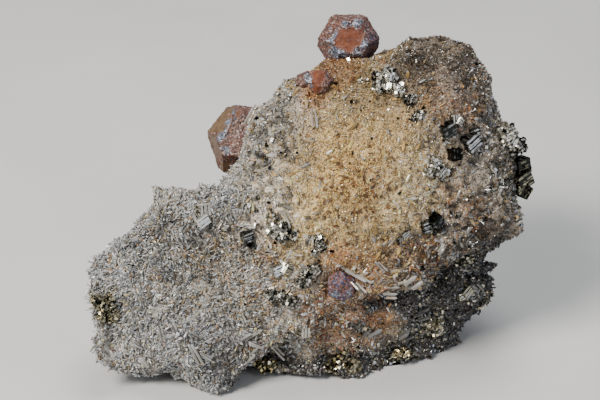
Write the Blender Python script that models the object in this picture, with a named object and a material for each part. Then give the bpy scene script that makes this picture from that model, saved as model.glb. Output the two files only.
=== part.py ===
"""Galena and pyrite crystals on a plate of quartz, the solid model.

The specimen is a thick wedge of rock. Its display face carries a crust of quartz: a fine sandy
dome in the middle, and a coarse druse of needles on the lobe at the left. The crust ends in a
ledge at the lower right, where the broken rock shows. Galena crystals stand on the upper edge
and in the crust, and pyrite is scattered over it all. The wedge rests on a flat sawn base.

Everything is laid out in the display frame: u runs to the right, v runs up the display face and
w comes out of it. A position (u, v) is where a thing shows on that face from the viewpoint.
"""

import math
import random

import bmesh
import bpy
import numpy as np
from mathutils import Matrix, Quaternion, Vector
from mathutils.bvhtree import BVHTree

MM = 0.001

# Driving dimensions, in millimetres
VIEW_DISTANCE = 560.0
FACE_LEAN = math.radians(30)
FACE_HEIGHT_ABOVE_BASE = 54.5
GAP = 0.3
CRUST_RELIEF = 4.5
DOME_HEIGHT = 16.0
DOME_RADIUS = 45.0
DOME_AT = (16.0, 12.0)
PLATE_DEPTH = 48.0
PLATE_TAPER = 0.33
LEDGE_UNDERCUT = 6.5
LEDGE_DROP = 12.0
SWELL_SIZE = 15.0
SWELL_HEIGHT = 1.7
LUMP_SIZE = 7.0
LUMP_HEIGHT = 1.1
ANGLES = 72
FACET_SIZE = 4.4
FACETS_KEPT = 0.56
EDGE_ALLOWANCE = 1.7

# The outline of the rock and the edge of the crust, both seen from the viewpoint. They part at
# the ledge: the crust stops short there, and the rock runs on to the floor.
CENTRE = (-4.0, -18.0)
SHARED_EDGE = [
    (65, -16), (73.3, -10.7), (74, -2), (71.7, 2), (72, 17), (70.7, 23.3), (66.7, 28.7), (63, 36),
    (61, 42), (58, 46), (55, 50), (49.3, 52.3), (46.7, 54.8), (36, 54), (33.7, 51), (30, 49.3),
    (26, 49), (15, 48), (9, 47), (4, 42.5), (0, 40.3), (-4.3, 38.6), (-8.3, 34), (-15.7, 30),
    (-18, 25), (-22, 13.3), (-26, 6.7), (-28, 3.5), (-31.7, 4.7), (-36.7, 4), (-42.7, 5), (-47, 4),
    (-48.5, 0), (-53, -7), (-57, -12), (-66, -17), (-72, -24.5), (-74.5, -32), (-72.5, -38.3),
    (-71, -45), (-73.3, -50), (-69.5, -54.5), (-61.5, -56.5), (-51.7, -57.5), (-42.7, -56.5),
    (-38, -60), (-33.3, -64), (-29, -66), (-21.3, -61), (-17.7, -56.5),
]
LEDGE_EDGE = [
    (-15, -54), (-8.3, -48.3), (0, -43.3), (6.7, -38), (16.7, -34), (28.3, -31), (35, -30),
    (43.3, -26.7), (47, -22), (53.3, -20.3),
]
ROCK_EDGE = [
    (-14, -59.3), (6, -59.7), (8.7, -57.3), (14.3, -59), (20, -58.7), (28.3, -54.3), (35, -53.7),
    (41.7, -52), (52, -48), (54.7, -41), (59.3, -38.3), (65.3, -33.7), (64.7, -28), (60.3, -25.7),
    (64.3, -22.7),
]

# Colours, as linear red, green and blue, with roughness and metallic value
FINISHES = {
    "quartz": ((0.42, 0.36, 0.28), 0.55, 0.0),
    "galena": ((0.40, 0.20, 0.12), 0.55, 0.3),
    "pyrite": ((0.62, 0.52, 0.30), 0.25, 1.0),
}


def clear_scene():
    for obj in list(bpy.data.objects):
        bpy.data.objects.remove(obj, do_unlink=True)


def finish(name):
    """The material of that name, a Principled shader with its colour, roughness and metal value."""
    found = bpy.data.materials.get(name)
    if found:
        return found
    colour, roughness, metallic = FINISHES[name]
    made = bpy.data.materials.new(name)
    made.use_nodes = True
    shader = made.node_tree.nodes["Principled BSDF"]
    shader.inputs["Base Color"].default_value = (*colour, 1.0)
    shader.inputs["Roughness"].default_value = roughness
    shader.inputs["Metallic"].default_value = metallic
    return made


# The display frame's three directions in the row frame
RIGHT = Vector((1, 0, 0))
UPWARD = Vector((0, math.sin(FACE_LEAN), math.cos(FACE_LEAN)))
OUTWARD = Vector((0, -math.cos(FACE_LEAN), math.sin(FACE_LEAN)))
FACE_ORIGIN = Vector((0, 0, FACE_HEIGHT_ABOVE_BASE))
VIEWPOINT = FACE_ORIGIN + OUTWARD * VIEW_DISTANCE


def place(u, v, w=0.0):
    """The point, in millimetres, that shows at (u, v) and lies w in front of the display plane."""
    nearer = 1 - w / VIEW_DISTANCE
    return FACE_ORIGIN + RIGHT * (u * nearer) + UPWARD * (v * nearer) + OUTWARD * w


def add_object(name, points, faces, material):
    """A mesh object from points in millimetres, its faces turned outwards."""
    mesh = bpy.data.meshes.new(name)
    mesh.from_pydata([Vector(p) * MM for p in points], [], faces)
    mesh.update()
    return add_mesh(name, mesh, material)


def add_mesh(name, mesh, material):
    work = bmesh.new()
    work.from_mesh(mesh)
    bmesh.ops.recalc_face_normals(work, faces=work.faces)
    work.to_mesh(mesh)
    work.free()
    obj = bpy.data.objects.new(name, mesh)
    obj.data.materials.append(finish(material))
    bpy.context.scene.collection.objects.link(obj)
    return obj


def reach(edge, angle):
    """How far a ray from the centre goes at this angle before it meets the closed edge."""
    ray = Vector((math.cos(angle), math.sin(angle)))
    furthest = 0.0
    for i, start in enumerate(edge):
        a = Vector(start) - Vector(CENTRE)
        b = Vector(edge[(i + 1) % len(edge)]) - Vector(CENTRE)
        side = b - a
        cross = ray.x * side.y - ray.y * side.x
        if abs(cross) < 1e-9:
            continue
        along_ray = (a.x * side.y - a.y * side.x) / cross
        along_side = (a.x * ray.y - a.y * ray.x) / cross
        if along_ray > 0 and -1e-9 <= along_side <= 1 + 1e-9:
            furthest = max(furthest, along_ray)
    return furthest


def bump(u, v, at, height, radius):
    """A round hill, highest at its own place, which fades out over about twice its radius."""
    squared = ((u - at[0]) ** 2 + (v - at[1]) ** 2) / radius**2
    return height * math.exp(-squared)


def face_height(u, v):
    """How far the crust stands in front of the display plane at (u, v)."""
    height = CRUST_RELIEF + bump(u, v, DOME_AT, DOME_HEIGHT, DOME_RADIUS)
    height += bump(u, v, (-42, -6), 4.0, 13)
    height += bump(u, v, (-56, -34), 3.5, 15)
    height += bump(u, v, (-36, -48), 4.5, 14)
    height += bump(u, v, (-10, -34), 3.0, 16)
    height -= bump(u, v, (-44, -22), 3.0, 9)
    height -= bump(u, v, (13, -29), 4.0, 7)
    height += bump(u, v, (48, 30), 4.0, 14)
    return height


def back_depth(u, v):
    """The depth of the plate's back at (u, v): a wedge, deepest at the foot."""
    return -PLATE_DEPTH + PLATE_TAPER * (v - CENTRE[1])


def rim_depth(v):
    """The depth of the broken rock's lower edge: where it meets the floor, or hangs over it."""
    at_floor = -2 * FACE_HEIGHT_ABOVE_BASE - 2 * v * math.cos(FACE_LEAN)
    return max(-24.0, at_floor + 1.0)


def profile(angle, crust, rock):
    """The section of the plate at one angle, as (distance from centre, w), front to back."""
    ledge = min(1.0, max(0.0, (rock - crust) / 14.0))

    def mix(plain, stepped):
        return plain + (stepped - plain) * ledge

    def at(distance):
        return CENTRE[0] + distance * math.cos(angle), CENTRE[1] + distance * math.sin(angle)

    section = [(crust * share, face_height(*at(crust * share)))
               for share in (0.2, 0.4, 0.6, 0.78, 0.93)]
    lip = face_height(*at(crust))
    rim = rim_depth(at(rock)[1])
    recess = lip - LEDGE_DROP
    band = rock - crust
    section.append((crust, mix(1.5, lip - 2.5)))
    section.append((mix(crust * 0.985, crust - LEDGE_UNDERCUT), mix(-4.0, recess)))
    section.append((mix(crust * 0.98, crust + band * 0.3), mix(-9.0, recess - 1.0)))
    section.append((mix(crust * 0.97, crust + band * 0.75), mix(-14.0, (recess + rim) / 2)))
    section.append((mix(crust * 0.95, rock), mix(-19.0, rim)))
    for share, sunk in ((0.90, 0.66), (0.66, 0.93), (0.34, 1.0)):
        section.append((rock * share, back_depth(*at(rock * share)) * sunk))
    return section


def plate():
    """The plain plate: a ring of sections round the centre, closed at the front and back."""
    crust_edge = SHARED_EDGE + LEDGE_EDGE
    rock_edge = SHARED_EDGE + ROCK_EDGE
    sections = []
    for i in range(ANGLES):
        angle = math.tau * i / ANGLES
        crust = reach(crust_edge, angle) + EDGE_ALLOWANCE
        rock = reach(rock_edge, angle) + EDGE_ALLOWANCE
        sections.append((angle, profile(angle, crust, rock)))
    rings = len(sections[0][1])
    points = [place(*CENTRE, face_height(*CENTRE))]
    for ring in range(rings):
        for angle, section in sections:
            distance, w = section[ring]
            u = CENTRE[0] + distance * math.cos(angle)
            v = CENTRE[1] + distance * math.sin(angle)
            points.append(place(u, v, w))
    points.append(place(*CENTRE, back_depth(*CENTRE)))
    last = len(points) - 1
    faces = []
    for i in range(ANGLES):
        j = (i + 1) % ANGLES
        faces.append((0, 1 + i, 1 + j))
        for ring in range(rings - 1):
            a, b = 1 + ring * ANGLES, 1 + (ring + 1) * ANGLES
            faces.append((a + i, b + i, b + j))
            faces.append((a + i, b + j, a + j))
        outer = 1 + (rings - 1) * ANGLES
        faces.append((outer + i, last, outer + j))
    return add_object("quartz_matrix", points, faces, "quartz")


# Flat breaks on the back and sides: the way each looks, in display directions, and how far it
# lies from the middle of the plate
BREAKS = [
    ((0.10, 0.75, -0.65), 51.0),
    ((0.62, 0.30, -0.72), 56.0),
    ((-0.55, 0.35, -0.76), 42.0),
    ((-0.30, -0.10, -0.95), 36.0),
    ((0.40, -0.15, -0.90), 38.5),
    ((0.80, -0.25, -0.55), 61.0),
    ((-0.80, -0.20, -0.56), 60.0),
    ((0.05, -0.55, -0.83), 58.0),
]
BREAKS_FROM = (8.0, 0.0, -8.0)
BREAK_FLATNESS = 0.92


def broken(points):
    """The points, moved back to the nearest flat break where they would stand proud of one."""
    middle = np.array(place(*BREAKS_FROM))
    for looks, distance in BREAKS:
        normal = np.array((RIGHT * looks[0] + UPWARD * looks[1] + OUTWARD * looks[2]).normalized())
        proud = np.maximum((points - middle) @ normal - distance, 0.0)
        points = points - proud[:, None] * normal * BREAK_FLATNESS
    return points


def lattice_noise(points, size, seed):
    """Smooth noise between -1 and 1: random values on a lattice of that size, blended between."""
    cell = np.floor(points / size).astype(np.int64)
    share = points / size - cell
    share = share * share * (3.0 - 2.0 * share)
    total = np.zeros(len(points))
    for corner in np.ndindex(2, 2, 2):
        key = (cell + corner) @ np.array((73856093, 19349663, 83492791)) + seed * 2654435761
        key = (key ^ (key >> 13)) * 1274126177 & 0xFFFFFFFF
        value = ((key ^ (key >> 16)) & 0xFFFF) / 32767.5 - 1.0
        weight = np.where(np.array(corner) == 1, share, 1.0 - share).prod(axis=1)
        total += weight * value
    return total


def waves(points, size, seed):
    """Noise in three directions for each point, with lumps of that size."""
    return np.stack([lattice_noise(points, size, seed + i) for i in range(3)], axis=1)


def roughened(points):
    """The points moved by noise: wide swells, and lumps of about half their width."""
    swells = waves(points, SWELL_SIZE, 1) * SWELL_HEIGHT
    return points + swells + waves(points, LUMP_SIZE, 4) * LUMP_HEIGHT


def rock_solid():
    """The plate with faces of even size, its breaks flat and its surface roughened."""
    rock = plate()
    even = rock.modifiers.new("even", "REMESH")
    even.mode = "VOXEL"
    even.voxel_size = FACET_SIZE * MM
    apply_modifiers(rock)
    flat = np.empty(len(rock.data.vertices) * 3)
    rock.data.vertices.foreach_get("co", flat)
    points = roughened(broken(flat.reshape(-1, 3) / MM))
    rock.data.vertices.foreach_set("co", points.ravel() * MM)
    split_into_triangles(rock)
    fewer = rock.modifiers.new("fewer", "DECIMATE")
    fewer.ratio = FACETS_KEPT
    apply_modifiers(rock)
    combine(rock, below_base(), "DIFFERENCE")
    print("rock faces", len(rock.data.polygons))
    return rock


def split_into_triangles(obj):
    """Splits every face into triangles, which stay flat whatever their corners do."""
    work = bmesh.new()
    work.from_mesh(obj.data)
    bmesh.ops.triangulate(work, faces=work.faces)
    work.to_mesh(obj.data)
    work.free()


def apply_modifiers(obj):
    """Replaces the object's mesh by what its modifiers make of it."""
    bpy.context.view_layer.update()
    graph = bpy.context.evaluated_depsgraph_get()
    result = bpy.data.meshes.new_from_object(obj.evaluated_get(graph))
    obj.modifiers.clear()
    obj.data = result


def tree_of(obj):
    """A search tree of the object's evaluated surface, in millimetres."""
    graph = bpy.context.evaluated_depsgraph_get()
    shape = obj.evaluated_get(graph)
    mesh = shape.to_mesh()
    points = [v.co / MM for v in mesh.vertices]
    faces = [tuple(p.vertices) for p in mesh.polygons]
    shape.to_mesh_clear()
    return BVHTree.FromPolygons(points, faces)


def surface_at(tree, u, v):
    """Where the line of sight through (u, v) meets the rock, and the outward normal there."""
    direction = (place(u, v) - VIEWPOINT).normalized()
    point, normal, _, _ = tree.ray_cast(VIEWPOINT, direction)
    if point is None:
        point, normal, _, _ = tree.find_nearest(place(u, v))
    if normal.dot(direction) > 0:
        normal = -normal
    return point, normal


class Prism:
    """A six-sided quartz crystal with a pointed end."""

    def __init__(self, root, direction, length, width, turn):
        self.root = root
        self.direction = direction.normalized()
        self.length = length
        self.width = width
        self.turn = turn

    def shape(self):
        """The crystal as (points, faces): a ring at its root, one at its shoulder, and its tip."""
        side = self.direction.orthogonal().normalized()
        other = self.direction.cross(side)
        points = []
        for along in (0.0, self.length - self.width * 0.8):
            for i in range(6):
                angle = self.turn + math.tau * i / 6
                offset = (side * math.cos(angle) + other * math.sin(angle)) * self.width / 2
                points.append(self.root + self.direction * along + offset)
        points.append(self.root + self.direction * self.length)
        faces = [tuple(reversed(range(6)))]
        for i in range(6):
            j = (i + 1) % 6
            faces.append((i, j, 6 + j, 6 + i))
            faces.append((6 + i, 6 + j, 12))
        return points, faces


# Long blades that stand out in the crust: where each starts and ends as seen, and its width
BLADES = [
    ((-33.5, -55.0), (-38.0, -47.0), 2.0),
    ((-33.5, -45.6), (-38.4, -42.6), 1.7),
    ((-45.0, -46.4), (-46.8, -40.6), 1.5),
    ((-50.8, -54.2), (-54.6, -50.0), 1.6),
    ((-17.6, -46.4), (-11.2, -43.2), 1.8),
    ((-16.8, -53.4), (-12.6, -49.0), 1.8),
    ((-37.2, -28.0), (-35.6, -24.0), 1.4),
    ((-9.0, -47.4), (-4.8, -51.4), 1.8),
    ((15.2, -22.4), (25.0, -28.0), 2.2),
    ((17.8, -26.4), (21.8, -30.4), 1.9),
    ((25.4, -20.6), (28.4, -24.2), 1.5),
    ((5.0, 30.0), (5.6, 23.0), 1.6),
]
RIM_DEGREES = range(120, 250, 5)
CLEAR_OF_FLOOR = 1.5
FLAT_ENOUGH = math.radians(0.6)
FACE_CRYSTALS = 56


def blades(tree):
    """The long blades of the list, each lying against the crust."""
    for start, end, width in BLADES:
        foot, normal = surface_at(tree, *start)
        tip, _ = surface_at(tree, *end)
        tip = tip + normal * width * 0.9
        direction = (tip - foot).normalized()
        root = foot - direction * width - normal * width * 0.25
        yield Prism(root, direction, (tip - root).length, width, 0.3)


def rim_crystals(tree, dice):
    """Crystals that bristle from the edge of the crust, round the lobe."""
    for degrees in RIM_DEGREES:
        angle = math.radians(degrees + dice.uniform(-1, 1))
        distance = reach(SHARED_EDGE + LEDGE_EDGE, angle) * 0.955
        u = CENTRE[0] + distance * math.cos(angle)
        v = CENTRE[1] + distance * math.sin(angle)
        heading = angle + dice.uniform(-0.6, 0.6)
        outward = RIGHT * math.cos(heading) + UPWARD * math.sin(heading)
        direction = (outward + OUTWARD * dice.uniform(-0.1, 0.7)).normalized()
        width = dice.uniform(2.0, 3.2)
        length = dice.uniform(7.0, 10.0)
        if near_a_crystal(u, v):
            continue
        foot, _ = surface_at(tree, u, v)
        turn = dice.random()
        if (foot + direction * length).z > length * 0.25 + CLEAR_OF_FLOOR:
            yield Prism(foot - direction * 4.0, direction, length, width, turn)


def face_crystals(tree, dice):
    """Crystals that stand on the lobe's face, leaning all ways."""
    placed = []
    while len(placed) < FACE_CRYSTALS:
        u, v = dice.uniform(-68, -8), dice.uniform(-58, 6)
        angle = math.atan2(v - CENTRE[1], u - CENTRE[0])
        edge = reach(SHARED_EDGE + LEDGE_EDGE, angle)
        inside = math.dist((u, v), CENTRE) < 0.88 * edge
        spacing = min((math.dist((u, v), p) for p in placed), default=99)
        if not inside or spacing < 5.0 or near_a_crystal(u, v):
            continue
        placed.append((u, v))
        foot, normal = surface_at(tree, u, v)
        tangent = normal.orthogonal().normalized()
        tangent.rotate(Quaternion(normal, dice.uniform(0, math.tau)))
        direction = (normal * dice.uniform(0.25, 1.0) + tangent).normalized()
        width = dice.uniform(2.2, 3.4)
        length = dice.uniform(8.0, 12.0)
        yield Prism(foot - direction * 3.0, direction, length, width, dice.random())


def parted(prisms):
    """The prisms in sets within which none can touch another, for unions that stay simple."""
    sets = []
    for prism in prisms:
        middle = prism.root + prism.direction * prism.length / 2
        for chosen in sets:
            if all((middle - m).length > (prism.length + p.length) / 2 + 0.5 for p, m in chosen):
                chosen.append((prism, middle))
                break
        else:
            sets.append([(prism, middle)])
    return [[prism for prism, _ in chosen] for chosen in sets]


def druse_object(prisms):
    """One mesh object that holds the prisms, none touching another."""
    points, faces = [], []
    for prism in prisms:
        start = len(points)
        own_points, own_faces = prism.shape()
        points.extend(own_points)
        faces.extend(tuple(start + i for i in face) for face in own_faces)
    return add_object("druse_helper", points, faces, "quartz")


# Galena: name, then for each crystal its seen place, its w (None rests it on the rock), its
# radius, the way that one octahedral face looks (right, up, out) and its turn about that way
GALENA = {
    "galena_top": [((16.2, 52.6), -3.0, 12.3, (0.05, 0.02, 1.0), 0)],
    "galena_left": [((-18.4, 19.6), -9.0, 15.4, (-0.12, 0.05, 1.0), -10)],
    "galena_small_pair": [((2.0, 39.4), None, 4.2, (-0.3, 0.2, 1.0), 20),
                          ((6.6, 39.2), None, 5.2, (0.2, 0.1, 1.0), 5)],
    "galena_front": [((13.8, -28.6), None, 6.2, (0.25, -0.35, 1.0), 33)],
}
OCTAHEDRON_SHARE = 0.96


# Pyrite: name, seen place, w (None rests it on the rock), and its cubes: edge, offset across,
# offset up, offset out, turn in degrees
PYRITE = {
    "pyrite_left_pair": ((-32.6, -4.8), None, [(3.6, 0.3, 1.6, 0.4, 12), (3.8, -0.2, -1.7, 0.3, 38)]),
    "pyrite_dark_twin": ((-17.2, -13.2), None, [(3.4, -0.4, 1.0, 0.4, 20), (2.4, 1.4, -2.0, 0.2, 50)]),
    "pyrite_rosette": ((-6.2, -10.6), None, [(4.0, -2.0, 0.8, 0.2, 15), (3.4, 1.2, 1.4, 0.4, 48),
                                             (3.6, 0.6, -1.6, 0.5, 70), (3.0, 3.4, -0.6, 0.0, 30)]),
    "pyrite_bright_pair": ((-6.4, -23.2), None, [(3.4, -1.5, 0.0, 0.3, 25), (3.2, 1.7, 0.2, 0.5, 62)]),
    "pyrite_crescent": ((5.8, -15.0), None, [(2.6, 0.6, 2.2, 0.2, 10), (2.8, 0.8, -0.2, 0.3, 45),
                                             (2.4, -0.6, -2.4, 0.2, 75)]),
    "pyrite_green_group": ((2.6, -24.8), None, [(3.6, 1.8, 1.8, 0.3, 33), (3.4, -0.2, -0.6, 0.3, 5),
                                                (3.0, -2.0, -2.8, 0.2, 60)]),
    "pyrite_lower_group": ((-6.0, -32.4), None, [(3.6, -3.4, 0.6, 0.2, 40), (2.6, -0.4, 1.0, 0.4, 20),
                                                 (3.8, 2.8, -1.0, 0.4, 65)]),
    "pyrite_striped_cube": ((1.0, -43.6), None, [(3.2, 0.0, 0.0, 0.6, 8)]),
    "pyrite_silver_cluster": ((28.6, 39.6), None, [(4.4, -2.0, 0.6, 0.4, 10), (4.0, 0.8, 2.0, 0.4, 40),
                                                   (3.8, 1.4, -1.6, 0.5, 70), (3.6, 3.8, -2.6, 0.1, 25),
                                                   (3.0, -2.6, -2.2, 0.2, 55)]),
    "pyrite_crumb_upper": ((37.2, 33.6), None, [(2.6, 0.0, 0.0, 0.2, 35), (2.0, -1.6, -0.4, 0.1, 12)]),
    "pyrite_crumb_right": ((39.4, 27.8), None, [(2.6, 0.6, 0.4, 0.2, 20), (2.2, -1.2, -0.8, 0.2, 55)]),
    "pyrite_black_cube": ((48.4, 23.4), None, [(4.4, 0.0, 0.0, 0.9, 33)]),
    "pyrite_white_flake": ((51.8, 27.0), None, [(2.8, -0.4, 0.2, 0.3, 15), (2.4, 1.0, -0.6, 0.3, 60)]),
    "pyrite_grey_cube": ((56.2, 19.6), None, [(5.2, 0.0, 0.0, 0.9, 42), (3.6, 1.4, 2.6, 0.2, 20)]),
    "pyrite_small_cube": ((51.2, 15.4), None, [(3.8, 0.0, 0.0, 0.7, 12)]),
    "pyrite_striped_group": ((45.6, 10.8), None, [(3.4, -0.8, 1.6, 0.3, 25), (4.0, 0.9, -1.3, 0.5, 52),
                                                  (2.6, -3.0, -1.6, 0.1, 10)]),
    "pyrite_edge_bright": ((68.6, 21.6), None, [(5.0, -0.6, 0.6, 1.0, 30), (3.8, 1.6, -2.4, 0.6, 55)]),
    "pyrite_edge_knob": ((74.6, 18.6), None, [(4.2, 0.6, 0.4, 1.0, 15), (3.6, -1.6, -1.6, 1.4, 45)]),
    "pyrite_edge_column": ((73.2, 7.4), -1.0, [(5.0, 0.2, 4.2, 0.6, 20), (5.4, 0.6, -0.2, 0.8, 35),
                                               (4.4, 0.8, -4.0, 0.6, 60)]),
    "pyrite_dark_cluster": ((43.6, -7.6), None, [(3.8, -1.8, -0.8, 0.4, 20), (4.0, 1.4, 0.8, 0.5, 50),
                                                 (2.8, 0.4, -2.2, 0.2, 75)]),
    "pyrite_glint_small": ((34.0, -12.2), None, [(2.4, 0.8, 0.8, 0.2, 40), (2.2, -0.6, -1.2, 0.2, 15)]),
    "pyrite_ledge_group": ((54.4, -19.6), None, [(3.2, -0.8, 0.6, 0.4, 15), (2.8, 1.6, -0.8, 0.4, 50)]),
    "pyrite_gold_cluster": ((44.2, -42.0), None, [(3.8, 1.0, -1.6, 0.4, 35), (3.2, -1.4, 1.6, 0.4, 10),
                                                  (2.6, 2.2, 1.2, 0.2, 60)]),
    "pyrite_tip_crystal": ((62.4, -34.6), None, [(3.6, 0.0, 0.0, 0.2, 48), (2.6, -2.2, -1.2, 0.2, 20)]),
    "pyrite_foot_middle": ((15.0, -54.0), None, [(4.6, -1.6, 0.8, 0.3, 18), (4.2, 2.2, -1.2, 0.4, 52),
                                                 (3.4, -3.8, -1.8, 0.2, 70)]),
    "pyrite_foot_left": ((-11.0, -55.0), None, [(3.6, -1.6, 0.0, 0.3, 40), (3.4, 1.4, 0.6, 0.2, 15)]),
    "pyrite_foot_right": ((34.0, -51.2), None, [(2.8, -1.4, 0.2, 0.2, 30), (2.6, 1.2, 0.0, 0.2, 62)]),
    "pyrite_lobe_cluster": ((-64.6, -35.0), None, [(4.2, 0.4, 0.6, 0.3, 22), (3.4, -2.6, 1.0, 0.2, 50),
                                                   (3.6, -0.4, -3.4, 0.3, 70), (3.0, 2.6, -3.0, 0.1, 35)]),
}


def near_a_crystal(u, v):
    """Whether (u, v) is so near a galena or pyrite that a quartz crystal there would meet it."""
    for (gu, gv), _, radius, _, _ in (c for group in GALENA.values() for c in group):
        if math.dist((u, v), (gu, gv)) < radius + 6:
            return True
    return any(math.dist((u, v), at) < 7.5 for at, _, _ in PYRITE.values())


def planes_solid(planes):
    """The convex solid inside all the planes, each (unit normal, distance), as a bmesh."""
    work = bmesh.new()
    bmesh.ops.create_cube(work, size=200)
    for normal, distance in planes:
        everything = work.verts[:] + work.edges[:] + work.faces[:]
        cut = bmesh.ops.bisect_plane(work, geom=everything, plane_co=normal * distance,
                                     plane_no=normal, clear_outer=True)
        rim = [e for e in cut["geom_cut"] if isinstance(e, bmesh.types.BMEdge)]
        if rim:
            bmesh.ops.contextual_create(work, geom=rim)
    return work


CUBE_NORMALS = [Vector(n) for n in ((1, 0, 0), (-1, 0, 0), (0, 1, 0), (0, -1, 0), (0, 0, 1), (0, 0, -1))]
SIDES = (1, -1)
OCTAHEDRON_NORMALS = [Vector((x, y, z)).normalized() for x in SIDES for y in SIDES for z in SIDES]


def galena_shape(radius, grow):
    """A cube whose corners are cut by an octahedron, the usual form of galena."""
    cube = radius / math.sqrt(2)
    planes = [(n, cube + grow) for n in CUBE_NORMALS]
    planes += [(n, cube * OCTAHEDRON_SHARE + grow) for n in OCTAHEDRON_NORMALS]
    return planes_solid(planes)


def pyrite_shape(edge, grow):
    """A plain cube, the form of most pyrite here."""
    return planes_solid([(n, edge / 2 + grow) for n in CUBE_NORMALS])


def placed_mesh(name, shape, matrix):
    """A bmesh in millimetres moved by the matrix and written to a mesh in metres."""
    bmesh.ops.transform(shape, matrix=Matrix.Scale(MM, 4) @ matrix, verts=shape.verts)
    mesh = bpy.data.meshes.new(name)
    shape.to_mesh(mesh)
    shape.free()
    return mesh


def display_turn(degrees):
    """A turn about the display frame's right, upward and outward directions, in that order."""
    turn = Matrix.Identity(4)
    for axis, angle in zip((RIGHT, UPWARD, OUTWARD), degrees):
        turn = Matrix.Rotation(math.radians(angle), 4, axis) @ turn
    return turn @ display_basis().to_4x4()


def looking_turn(looks, degrees):
    """The turn that makes a crystal's octahedral face look that way, its top edge level."""
    way = Vector(looks).normalized()
    first = Vector((1, 1, 1)).rotation_difference(way).to_matrix()
    edge = first @ Vector((1, -1, 0))
    level = -math.atan2(edge.y, edge.x)
    turn = Matrix.Rotation(level + math.radians(degrees), 3, way) @ first
    return (display_basis() @ turn).to_4x4()


def display_basis():
    """The matrix whose columns are the display frame's three directions."""
    return Matrix((RIGHT, UPWARD, OUTWARD)).transposed()


def galena_meshes(name, crystals, tree, grow=0.0):
    """One closed mesh for each crystal of a galena group, each face moved out by grow."""
    meshes = []
    for (u, v), w, radius, looks, degrees in crystals:
        if w is None:
            foot, normal = surface_at(tree, u, v)
            at = foot + normal * radius * 0.05
        else:
            at = place(u, v, w)
        matrix = Matrix.Translation(at) @ looking_turn(looks, degrees)
        meshes.append(placed_mesh(name, galena_shape(radius, grow), matrix))
    return meshes


def pyrite_meshes(name, group, tree, grow=0.0):
    (u, v), w, cubes = group
    if w is None:
        foot, normal = surface_at(tree, u, v)
    else:
        foot, normal = place(u, v, w), OUTWARD
    tangent = (RIGHT - normal * RIGHT.dot(normal)).normalized()
    upright = normal.cross(tangent)
    meshes = []
    for edge, across, up, out, degrees in cubes:
        at = foot + tangent * across + upright * up + normal * out
        tilt = display_turn((degrees * 0.6 + 10, 35 - degrees * 0.5, degrees))
        matrix = Matrix.Translation(at) @ tilt
        meshes.append(placed_mesh(name, pyrite_shape(edge, grow), matrix))
    return meshes


def joined(name, meshes, material):
    """One object that holds the shapes of all the meshes, which may overlap."""
    work = bmesh.new()
    for mesh in meshes:
        work.from_mesh(mesh)
        bpy.data.meshes.remove(mesh)
    whole = bpy.data.meshes.new(name)
    work.to_mesh(whole)
    work.free()
    return add_mesh(name, whole, material)


def combine(obj, other, operation):
    """A Boolean of obj with other, applied, and the helper removed."""
    step = obj.modifiers.new(operation.lower(), "BOOLEAN")
    step.operation = operation
    step.solver = "MANIFOLD"
    step.object = other
    apply_modifiers(obj)
    split_into_triangles(obj)
    bpy.data.objects.remove(other, do_unlink=True)


def fused(name, meshes, material):
    """One solid of shapes that grew into each other."""
    obj = joined(name, meshes[:1], material)
    for mesh in meshes[1:]:
        combine(obj, joined("part_helper", [mesh], material), "UNION")
    return obj


def keep_largest_body(obj):
    """Joins the flat faces that cuts have split, and removes any loose chips beside the solid."""
    work = bmesh.new()
    work.from_mesh(obj.data)
    bmesh.ops.dissolve_limit(work, angle_limit=FLAT_ENOUGH, verts=work.verts, edges=work.edges)
    bmesh.ops.triangulate(work, faces=work.faces)
    work.verts.ensure_lookup_table()
    unseen = set(work.verts)
    bodies = []
    while unseen:
        stack, body = [unseen.pop()], set()
        while stack:
            vertex = stack.pop()
            body.add(vertex)
            for edge in vertex.link_edges:
                other = edge.other_vert(vertex)
                if other in unseen:
                    unseen.remove(other)
                    stack.append(other)
        bodies.append(body)
    largest = max(bodies, key=len)
    chips = [v for body in bodies if body is not largest for v in body]
    bmesh.ops.delete(work, geom=chips, context="VERTS")
    work.to_mesh(obj.data)
    work.free()
    print(obj.name, "bodies", len(bodies), "faces", len(obj.data.polygons))


def below_base():
    """A block that fills the space under the base."""
    shape = bmesh.new()
    bmesh.ops.create_cube(shape, size=1)
    matrix = Matrix.Translation((0, 0, -50)) @ Matrix.Diagonal((400, 400, 100, 1))
    return add_mesh("floor_helper", placed_mesh("floor_helper", shape, matrix), "quartz")


def centre_on_base(objects):
    """Moves the whole so that its base is centred on the origin. Returns the display origin in mm."""
    low = [min((o.matrix_world @ v.co)[i] for o in objects for v in o.data.vertices) for i in (0, 1)]
    high = [max((o.matrix_world @ v.co)[i] for o in objects for v in o.data.vertices) for i in (0, 1)]
    shift = Vector((-(low[0] + high[0]) / 2, -(low[1] + high[1]) / 2, 0))
    for obj in objects:
        obj.data.transform(Matrix.Translation(shift))
    return FACE_ORIGIN + shift / MM


def main():
    clear_scene()
    rock = rock_solid()
    bare = tree_of(rock)
    dice = random.Random(7)
    prisms = [*blades(bare), *rim_crystals(bare, dice), *face_crystals(bare, dice)]
    for apart in parted(prisms):
        combine(rock, druse_object(apart), "UNION")

    crystals, sockets = [], []
    for groups, shapes, material in ((GALENA, galena_meshes, "galena"),
                                     (PYRITE, pyrite_meshes, "pyrite")):
        for name, group in groups.items():
            crystals.append(fused(name, shapes(name, group, bare), material))
            socket = fused("socket_helper", shapes(name, group, bare, GAP), material)
            sockets.append(socket.data)
            bpy.data.objects.remove(socket, do_unlink=True)
    combine(rock, joined("socket_helper", sockets, "quartz"), "DIFFERENCE")
    keep_largest_body(rock)
    origin = centre_on_base([rock, *crystals])
    print("display origin, mm:", [round(c, 2) for c in origin])
    return origin


DISPLAY_ORIGIN = main()
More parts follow.
